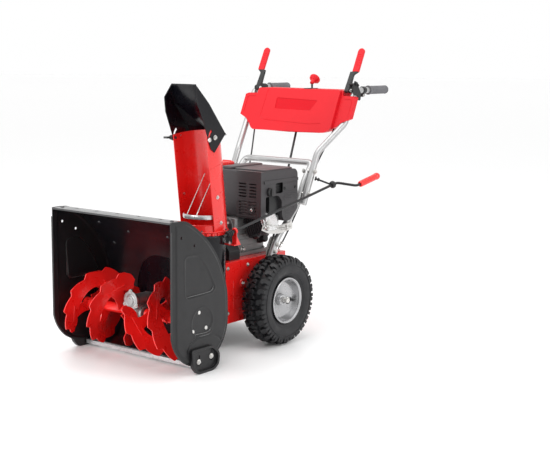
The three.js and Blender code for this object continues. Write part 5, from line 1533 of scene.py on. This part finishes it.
def make_crank():
    arm_end = CRANK_END + CRANK_SIDE * CRANK_ARM
    path = rounded_path([WORM - CRANK_AXIS * 32, CRANK_END, arm_end, arm_end + CRANK_AXIS * CRANK_PIN], 16,
                        10)
    make("crank_bar", sweep(path, 5, 20), BLACK_PLASTIC, ["crank_rod"], "crank", bevel=0.5)
    core = lathe([(0, -16), (8, -16), (8, 16), (0, 16)], WORM, CRANK_AXIS, 32)
    first, second = basis_along(CRANK_AXIS)
    turns = 3.4
    thread = [WORM + CRANK_AXIS * (-14 + 28 * t) + 9.4 * (math.cos(t * turns * 2 * math.pi) * first
                                                         + math.sin(t * turns * 2 * math.pi) * second)
              for t in np.linspace(0, 1, 110)]
    make("crank_worm", core, BLACK_PLASTIC, body="crank", bevel=0.8)
    make("crank_thread", sweep(thread, 3.2, 10, taper=lambda t: min(1, 12 * min(t, 1 - t) + 0.2)),
         BLACK_PLASTIC, body="crank")
    start = arm_end + CRANK_AXIS * 18
    profile = [(5.8, 0), (10, 0), (11.8, 3), (12.2, 8)]
    for k in range(9):
        w = 14 + 8.6 * k
        profile += [(12.4, w), (12.4, w + 5.4), (11.4, w + 6.6), (11.4, w + 7.6)]
    profile += [(12.4, 92), (13.8, 99), (13.4, 105), (11, 110), (0, 110), (0, 104), (5.8, 104)]
    make("crank_grip_body", lathe(profile, start, CRANK_AXIS, 40), RED, ["crank_grip"], "crank_grip",
         bevel=0.4)
    loop = [EYE + 8.3 * (math.cos(t) * first + math.sin(t) * second) for t in np.linspace(0, 2 * math.pi,
                                                                                          41)]
    stem = sweep([(216, 893, 592), (EYE.x - 8, EYE.y - 4, EYE.z + 1)], 3.6, 16)
    pad = rod(8, 6, (212.5, 890, 594), Vector((6.5, 4, -2)), 24)
    nuts = rod(7.5, 5, (221, 897, 590.5), Vector((41, 38, -21)), 6)
    make("eyebolt", sweep(loop, 2.7, 12) + stem + pad + nuts, POWDER, ["crank_eyebolt"], weld=False)
    collar = lathe([(5.7, -9), (10, -9), (13.5, -5), (14.5, 0), (13.5, 5), (10, 9), (5.7, 9)], EYE,
                   CRANK_AXIS, 32)
    make("crank_collar", collar, BLACK_PLASTIC, bevel=0.6)
    make_worm_bracket()


def make_worm_bracket():
    collar_at = WORM + CRANK_AXIS * 22
    post = block(186, 214, 404, 440, 392, 396)
    web = block(164, 190, 404, 428, 392, 396)
    strut = block(collar_at.x - 10, collar_at.x + 10, collar_at.y + 2, collar_at.y + 5, 394,
                  collar_at.z - 6)
    gussets = Shape()
    for x in (collar_at.x - 10, collar_at.x + 7.5):
        side = [(collar_at.y + 4, 395), (438, 395), (438, 400), (collar_at.y + 4, collar_at.z - 16)]
        gussets += prism(side, "x", x, x + 2.5)
    collar = pipe(5.6, 12, 8, collar_at, CRANK_AXIS, 40)
    outlet = rod(78.3, 128, (CHUTE_X, CHUTE_Y, 300), Z_AXIS, 72)
    make("worm_bracket_foot", post + web, RED, ["worm_bracket"], bevel=0.8, cutters=[outlet], weld=False)
    make("worm_bracket_plate", strut + gussets, RED, bevel=0.6, weld=False)
    make("worm_bracket_collar", collar, RED, bevel=0.6)
    bolts = hex_bolt((200, 432, 396), Z_AXIS, 5, 4, 7.5) + hex_bolt((178, 420, 396), Z_AXIS, 5, 4, 7.5)
    make("worm_bracket_bolts", bolts, ZINC, weld=False)


# ---------------------------------------------------------------- handles
TUBE_R, HANDLE_X, GRIP_Z, GRIP_START = 12.5, 250, 927, 1191
FRAME_TUBE = [(672, 308), (706, 372), (832, 491), (886, 591), (934, 648)]
UPPER_TUBE = [(197, 838, 496), (197, 925, 690), (245, 1040, 800), (250, 1092, 912), (250, 1128, 927),
              (250, 1314, 927)]
CABLE_PATH = [(205, 1088, 905), (203, 1060, 840), (197, 1030, 770), (162, 951, 615), (140, 850, 430),
              (128, 776, 322)]


def upper_tube(side, radius, sides=28):
    return sweep(rounded_path([(side * x, y, z) for x, y, z in UPPER_TUBE], 16, 10), radius, sides)


def cable_line(side, steps=12):
    return [tuple(p) for p in spline([(side * x, y, z) for x, y, z in CABLE_PATH], steps)]


def make_handles():
    lower = [(-169, y, z) for y, z in FRAME_TUBE] + [(169, y, z) for y, z in reversed(FRAME_TUBE)]
    make("handle_frame_tube", sweep(rounded_path(lower, 26, 12), TUBE_R, 28), TUBE, ["handle_frame"])
    flats, bolts = Shape(), Shape()
    for name, side in SIDES:
        make(f"handle_tube_{name}_bar", upper_tube(side, TUBE_R), TUBE, [f"handle_tube_{name}"])
        at = (side * HANDLE_X, GRIP_START, GRIP_Z)
        bore = TUBE_R + 0.2
        profile = [(bore, 0), (17.5, 0), (18.5, 1.5), (18.5, 5), (16.6, 7)]
        for k in range(11):
            w = 10 + 10 * k
            profile += [(16.6, w), (16.6, w + 6.2), (15.0, w + 7.2), (15.0, w + 9.0)]
        profile += [(16.6, 120), (17.2, 124), (16.8, 128), (14, 131), (0, 131), (0, 125), (bore, 125)]
        make(f"grip_{name}_sleeve", lathe(profile, at, Y_AXIS, 48), GRIP, [f"grip_{name}"], bevel=0.5)
        for y, z in ((855, 534), (893, 619)):
            flats += rod(9, 6, (side * 180, y, z), (side, 0, 0), 24)
            bolts += hex_bolt((side * 209.5, y, z), (side, 0, 0), 7, 5.5, 10)
            bolts += dome_bolt((side * 156.5, y, z), (-side, 0, 0), 9, 4)
        for y, z in ((684, 331), (697, 356)):
            bolts += hex_bolt((side * 181.5, y, z), (side, 0, 0), 7, 5.5, 10)
        foot = prism(rounded_outline([(660, 296), (668, 348), (694, 388), (722, 372), (704, 318),
                                      (700, 296)], 10),
                     "x", side * 151, side * 155.5)
        flats += foot
        flats += block(*sorted((side * 150, side * 154)), 662, 702, 290, 316)
    make("handle_joint_pads", flats, ZINC, bevel=0.8, weld=False)
    make("handle_bolts", bolts, ZINC, weld=False)
    for name, side in SIDES:
        line = cable_line(side)
        make(f"clutch_cable_{name}_jacket", sweep(line, 3, 14), CABLE, [f"clutch_cable_{name}"])
        top, bottom = Vector(line[0]), Vector(line[-1])
        down = (Vector(line[3]) - top).normalized()
        up = (Vector(line[-4]) - bottom).normalized()
        ends = lathe([(0, 0), (5, 0), (5, 16), (4, 22), (0, 22)], top, down, 20)
        ends += lathe([(0, 0), (4.6, 0), (4.6, 24), (3.6, 28), (0, 28)], bottom, up, 20)
        nuts = lathe([(3, 26), (7, 26), (7, 31), (3, 31)], bottom, up, 6)
        nuts += lathe([(3, 12), (7, 12), (7, 17), (3, 17)], bottom, up, 6)
        make(f"clutch_cable_{name}_ferrules", ends + nuts, ZINC, bevel=0.4, weld=False)
    ties = Shape()
    for _, side in SIDES:
        line = cable_line(side)
        for k in (22, 36):
            at, ahead = Vector(line[k]), Vector(line[k + 1])
            ties += lathe([(3, -2), (4.6, -2), (4.6, 2), (3, 2)], at, ahead - at, 16)
    make("cable_ties", ties, BLACK_PLASTIC, bevel=0.3)


# ---------------------------------------------------------------- control panel
FACE_Y, FACE_Z, FACE_LEAN = 1027, 813, 0.45
PANEL_HALF = [(0, 757), (150, 760), (172, 766), (238, 793), (240, 803), (276, 818), (276, 900), (262, 905),
              (214, 906), (211, 925), (180, 929), (0, 929)]
PANEL_MIDDLE = [(0, 757), (150, 760), (172, 766), (214, 783.4), (214, 906), (211, 925), (180, 929),
                (0, 929)]
PANEL_RAISED = [(-182, 760), (182, 762), (205, 780), (205, 928), (-205, 928), (-205, 780)]
WING_DEPTH = 20
SHIFT_X, SHIFT_Y, SHIFT_Z, KNOB_Z = 35, 1108, 800, 950
KNOB_LEAN = math.radians(-51.5)
ROD_LOW, ROD_TOP = Vector((87, 783, 332)), Vector((11, 1044.5, 780))


def lean_back(obj):
    for v in obj.data.vertices:
        v.co.y += FACE_LEAN * (v.co.z - FACE_Z * MM)


def shrink(outline, by):
    return [(x - math.copysign(min(by, abs(x)), x), z - by if z > 850 else z + by) for x, z in outline]


def panel_point(x, z, out):
    return Vector((x, FACE_Y + FACE_LEAN * (z - FACE_Z) - out, z))


def whole(half):
    """An outline drawn for X above 0, with its mirror image."""
    return half + [(-x, z) for x, z in half[-2:0:-1]]


def make_panel():
    outline, middle = whole(PANEL_HALF), whole(PANEL_MIDDLE)
    raised = prism(rounded_outline(PANEL_RAISED, 12, 6), "y", FACE_Y - 14, FACE_Y + 5)
    body = raw_object("panel_work", prism(outline, "y", FACE_Y, FACE_Y + WING_DEPTH))
    boolean(body, prism(middle, "y", FACE_Y, FACE_Y + 60), "UNION")
    boolean(body, raised, "UNION")
    boolean(body, prism(shrink(outline, 3), "y", FACE_Y + 3, FACE_Y + WING_DEPTH + 1))
    boolean(body, prism(shrink(middle, 3), "y", FACE_Y + 3, FACE_Y + 61))
    boolean(body, prism(rounded_outline(shrink(PANEL_RAISED, 3), 10, 6), "y", FACE_Y - 11, FACE_Y + 6))
    label = rounded_outline([(-97, 891), (109, 885), (84, 844), (-94, 846)], 6)
    boolean(body, prism(label, "y", FACE_Y - 15, FACE_Y - 12.4))
    lean_back(body)
    step = [panel_point(x, z, 14.6) for x, z in ((-152, 922), (-157, 815), (-142, 802), (-120, 800),
                                                 (96, 792),
                                                 (150, 796))]
    boolean(body, sweep(rounded_path(step, 6), 2.2, 12))
    boolean(body, block(SHIFT_X - 9, SHIFT_X + 9, 1080, 1136, 915, 940))
    boolean(body, sweep([ROD_LOW, ROD_TOP + (ROD_TOP - ROD_LOW) * 0.05], 9, 24))
    for _, side in SIDES:
        boolean(body, upper_tube(side, TUBE_R + 1.2, 32))
        boolean(body, sweep(cable_line(side)[6:40], 6, 20))
    finished(body, "panel_shell", PANEL_RED, ["control_panel"], bevel=2.6, segments=4, smooth=40)
    field = raw_object("field_work", prism(shrink(label, 0.6), "y", FACE_Y - 12.6, FACE_Y - 12.1))
    lean_back(field)
    finished(field, "panel_label_field", LABEL_RED, bevel=0.15)
    trims = Shape()
    for side in (1, -1):
        trim = [panel_point(side * x, z, 0.4) for x, z in ((262, 828), (262, 893), (222, 895))]
        trims += sweep(rounded_path(trim, 8), 1.3, 10)
    make("panel_trims", trims, PANEL_RED, weld=False)
    gate = [(SHIFT_X - 17, 1072), (SHIFT_X + 17, 1072), (SHIFT_X + 17, 1130), (SHIFT_X - 17, 1130)]
    notches = [prism([(SHIFT_X - 9, 1079), (SHIFT_X + 9, 1079), (SHIFT_X + 9, 1131), (SHIFT_X - 9, 1131)],
                     "z", 920, 940)]
    plate = prism(rounded_outline(gate, 5), "z", 928.6, 931)
    make("shift_gate", plate, BLACK_PLASTIC, bevel=0.6, cutters=notches)
    marks = joined(block(SHIFT_X + 10, SHIFT_X + 15, 1084 + 9 * k, 1085.5 + 9 * k, 930.8,
                         931.8) for k in range(5))
    make("shift_marks", marks, RIM)
    braces = Shape()
    for side in (1, -1):
        braces += block(*sorted((side * 150, side * 153)), 1045, 1075, 800, 872)
    make("panel_braces", braces, PANEL_RED, bevel=0.8)


LEVER_X, BLADE_X, LEVER_Y, LEVER_Z, LEVER_LENGTH = 228, 238, 1085, 927, 182
LEVER_ANGLE = math.radians(64)


def make_levers():
    turn = Matrix.Translation((0, LEVER_Y, LEVER_Z)) @ Matrix.Rotation(LEVER_ANGLE, 4, "X")
    for name, side in SIDES:
        arm = prism(arc(0, 0, 10, 120, 240, 12) + [(80, -4), (80, 4)], "x", LEVER_X - 14, LEVER_X + 6)
        shoulder = prism([(214, 58), (234, 58), (236, 68), (250, 79), (250, 84), (226, 84), (214, 70)], "z",
                         -4, 4)
        tip = arc(BLADE_X, LEVER_LENGTH - 14.5, 14.5, 0, 180, 20)
        blade = prism([(BLADE_X - 14.5, 80), (BLADE_X + 14.5, 80)] + tip, "z", -5.5, 5.5)
        ridges = Shape()
        for k in range(6):
            y = 108 + 9 * k
            ridges += prism(rounded_rectangle(BLADE_X - 8, BLADE_X + 8, y, y + 3, 1.4, 3), "z", 5.0, 6.4)
            ridges += prism(rounded_rectangle(BLADE_X - 8, BLADE_X + 8, y, y + 3, 1.4, 3), "z", -6.4, -5.0)
        pin = rod(4, 20, (LEVER_X - 8, 0, 0), X_AXIS, 24)
        heads = dome_bolt((LEVER_X + 12, 0, 0), X_AXIS, 7, 3.5) + dome_bolt((LEVER_X - 14, 0, 0), -X_AXIS,
                                                                            7, 3.5)
        node = f"clutch_lever_{name}"
        for label, shape, finish, bevel, replaced in (
                ("arm", arm, BLACK_PLASTIC, 2.0, [node]), ("shoulder", shoulder, BLACK_PLASTIC, 1.6, []),
                ("blade", blade, PANEL_RED, 2.6, []), ("ridges", ridges, PANEL_RED, 0.5, []),
                ("pin", pin + heads, ZINC, 0.4, [])):
            make(f"{node}_{label}", shape.moved(turn).mirrored(side), finish, replaced, node, bevel=bevel,
                 segments=4 if bevel > 1 else 2, weld=label not in ("ridges", "pin"))
        make_lever_bracket(name, side)


def make_lever_bracket(name, side):
    outline = arc(LEVER_Y, LEVER_Z, 11, 110, 250, 12) + [(1164, GRIP_Z - 9), (1164, GRIP_Z + 9)]
    hole = rod(4.3, 30, (LEVER_X - 5, LEVER_Y, LEVER_Z), X_AXIS, 24)
    plate = prism(outline, "x", LEVER_X + 6.6, LEVER_X + 9.2)
    fin = prism([(1092, GRIP_Z + 8), (1098, GRIP_Z + 22), (1108, GRIP_Z + 24), (1150, GRIP_Z + 9)],
                "x", LEVER_X + 6.6, LEVER_X + 9.2)
    cheek = rounded_outline([(1062, 946), (1074, 966), (1097, 958), (1104, 936), (1120, 916), (1116, 888),
                             (1098, 889), (1092, 909), (1064, 911)], 6)
    cheek = prism(cheek, "x", HANDLE_X + TUBE_R + 0.8, HANDLE_X + TUBE_R + 3.4)
    posts = Shape()
    for y, z in ((1080, 952), (1094, 948)):
        posts += rod(4, 27.5, (LEVER_X + 8, y, z), X_AXIS, 20)
        posts += hex_bolt((HANDLE_X + TUBE_R + 3.4, y, z), X_AXIS, 4.5, 3.5, 6)
    bead = sweep([(LEVER_X + 9.4, 1110, GRIP_Z), (LEVER_X + 9.4, 1156, GRIP_Z)], 2.2, 12)
    clamp = pipe(TUBE_R + 0.3, 15.4, 18, (HANDLE_X, 1146, GRIP_Z),
                  Y_AXIS, 48)
    ears = block(HANDLE_X - 4, HANDLE_X + 4, 1148, 1162, GRIP_Z - 26, GRIP_Z - 14)
    tube = rod(TUBE_R + 0.3, 80, (HANDLE_X, 1090, GRIP_Z), Y_AXIS, 48)
    make(f"lever_bracket_{name}_plate", plate.mirrored(side), POWDER, [f"lever_bracket_{name}"],
         bevel=0.6, cutters=[hole.mirrored(side), tube.mirrored(side)])
    make(f"lever_bracket_{name}_fin", fin.mirrored(side), POWDER, bevel=0.6)
    if side > 0:
        make("lever_cheek", cheek, POWDER, bevel=0.6)
        make("lever_cheek_posts", posts, POWDER, weld=False)
    make(f"lever_bracket_{name}_bead", bead.mirrored(side), POWDER, cutters=[tube.mirrored(side)])
    make(f"lever_bracket_{name}_clamp", (clamp + ears).mirrored(side), POWDER, bevel=0.8, weld=False)
    bolt = hex_bolt((HANDLE_X + 4, 1155, GRIP_Z - 20), X_AXIS, 4, 3.5, 5.5)
    bolt += hex_bolt((HANDLE_X - 4, 1155, GRIP_Z - 20), -X_AXIS, 4, 3.5, 5.5)
    make(f"lever_bracket_{name}_bolt", bolt.mirrored(side), ZINC, weld=False)


def make_shift():
    x, y, z = SHIFT_X, SHIFT_Y, SHIFT_Z
    stalk = sweep([(x, y, z), (x, y, KNOB_Z + 2)], 4, 24)
    barrel = lathe([(0, -10), (10, -10), (10, 10), (0, 10)], (x, y, z), X_AXIS, 40)
    arm = prism([(y, z + 7), (y, z - 7), (1046, 782), (1042, 790)], "x", x - 8, x - 2)
    tab = block(ROD_TOP.x + 8, x - 3, 1040, 1052, 782, 790)
    make("shift_stalk", stalk + barrel + arm + tab, BLACK_PLASTIC, ["shift_lever"], "shift_lever",
         bevel=0.8,
         weld=False)
    knob = [(0, 0), (7, 0), (8, 3), (9, 10), (13, 17), (19, 22), (22, 27), (22.5, 30), (21, 34), (16, 37.5),
            (8, 39), (0, 39.3)]
    lean = Matrix.Translation((x, y - 4, KNOB_Z)) @ Matrix.Rotation(KNOB_LEAN, 4, "X")
    make("shift_knob", lathe(knob, (0, 0, 0), Z_AXIS, 56).moved(lean), PANEL_RED, body="shift_lever")
    flutes = Shape()
    for k in range(8):
        t = 2 * math.pi * (k + 0.5) / 8
        flutes += sweep([(r * math.cos(t), r * math.sin(t), h) for r,
                         h in ((12.4, 15.5), (20.8, 25), (21.6, 31))],
                        1.6, 8)
    make("shift_knob_flutes", flutes.moved(lean), PANEL_RED, body="shift_lever")
    make("shift_rod_bar", sweep([ROD_LOW, ROD_TOP], 4.5, 20), BLACK_PLASTIC, ["shift_rod"], "shift_rod",
         bevel=0.6)
    along = (ROD_TOP - ROD_LOW).normalized()
    eye = lathe([(0, -18), (7, -18), (7.5, -12), (7.5, 0), (6, 4), (0, 4)], ROD_TOP, along, 24)
    nut = lathe([(0, -26), (7, -26), (7, -20), (0, -20)], ROD_TOP, along, 6)
    make("shift_rod_end", eye, BLACK_PLASTIC, body="shift_rod", bevel=0.5)
    make("shift_rod_nut", nut, ZINC, body="shift_rod", bevel=0.4)


for make_part in (make_side_plates, make_housing, make_scraper, make_skid_shoes, make_augers,
                  make_gearbox, make_impeller, make_drum, make_frame, make_belt_cover, make_wheels,
                  make_crankcase, make_cylinder, make_side_cover, make_exhaust, make_tank, make_recoil,
                  make_chute, make_hood, make_crank, make_handles, make_panel, make_levers, make_shift):
    make_part()

for node, finish in (("crankshaft", IRON), ("impeller_pulley", IRON), ("auger_belt", CABLE)):
    carried = bpy.data.objects[node]
    carried.data.materials.clear()
    carried.data.materials.append(finish)
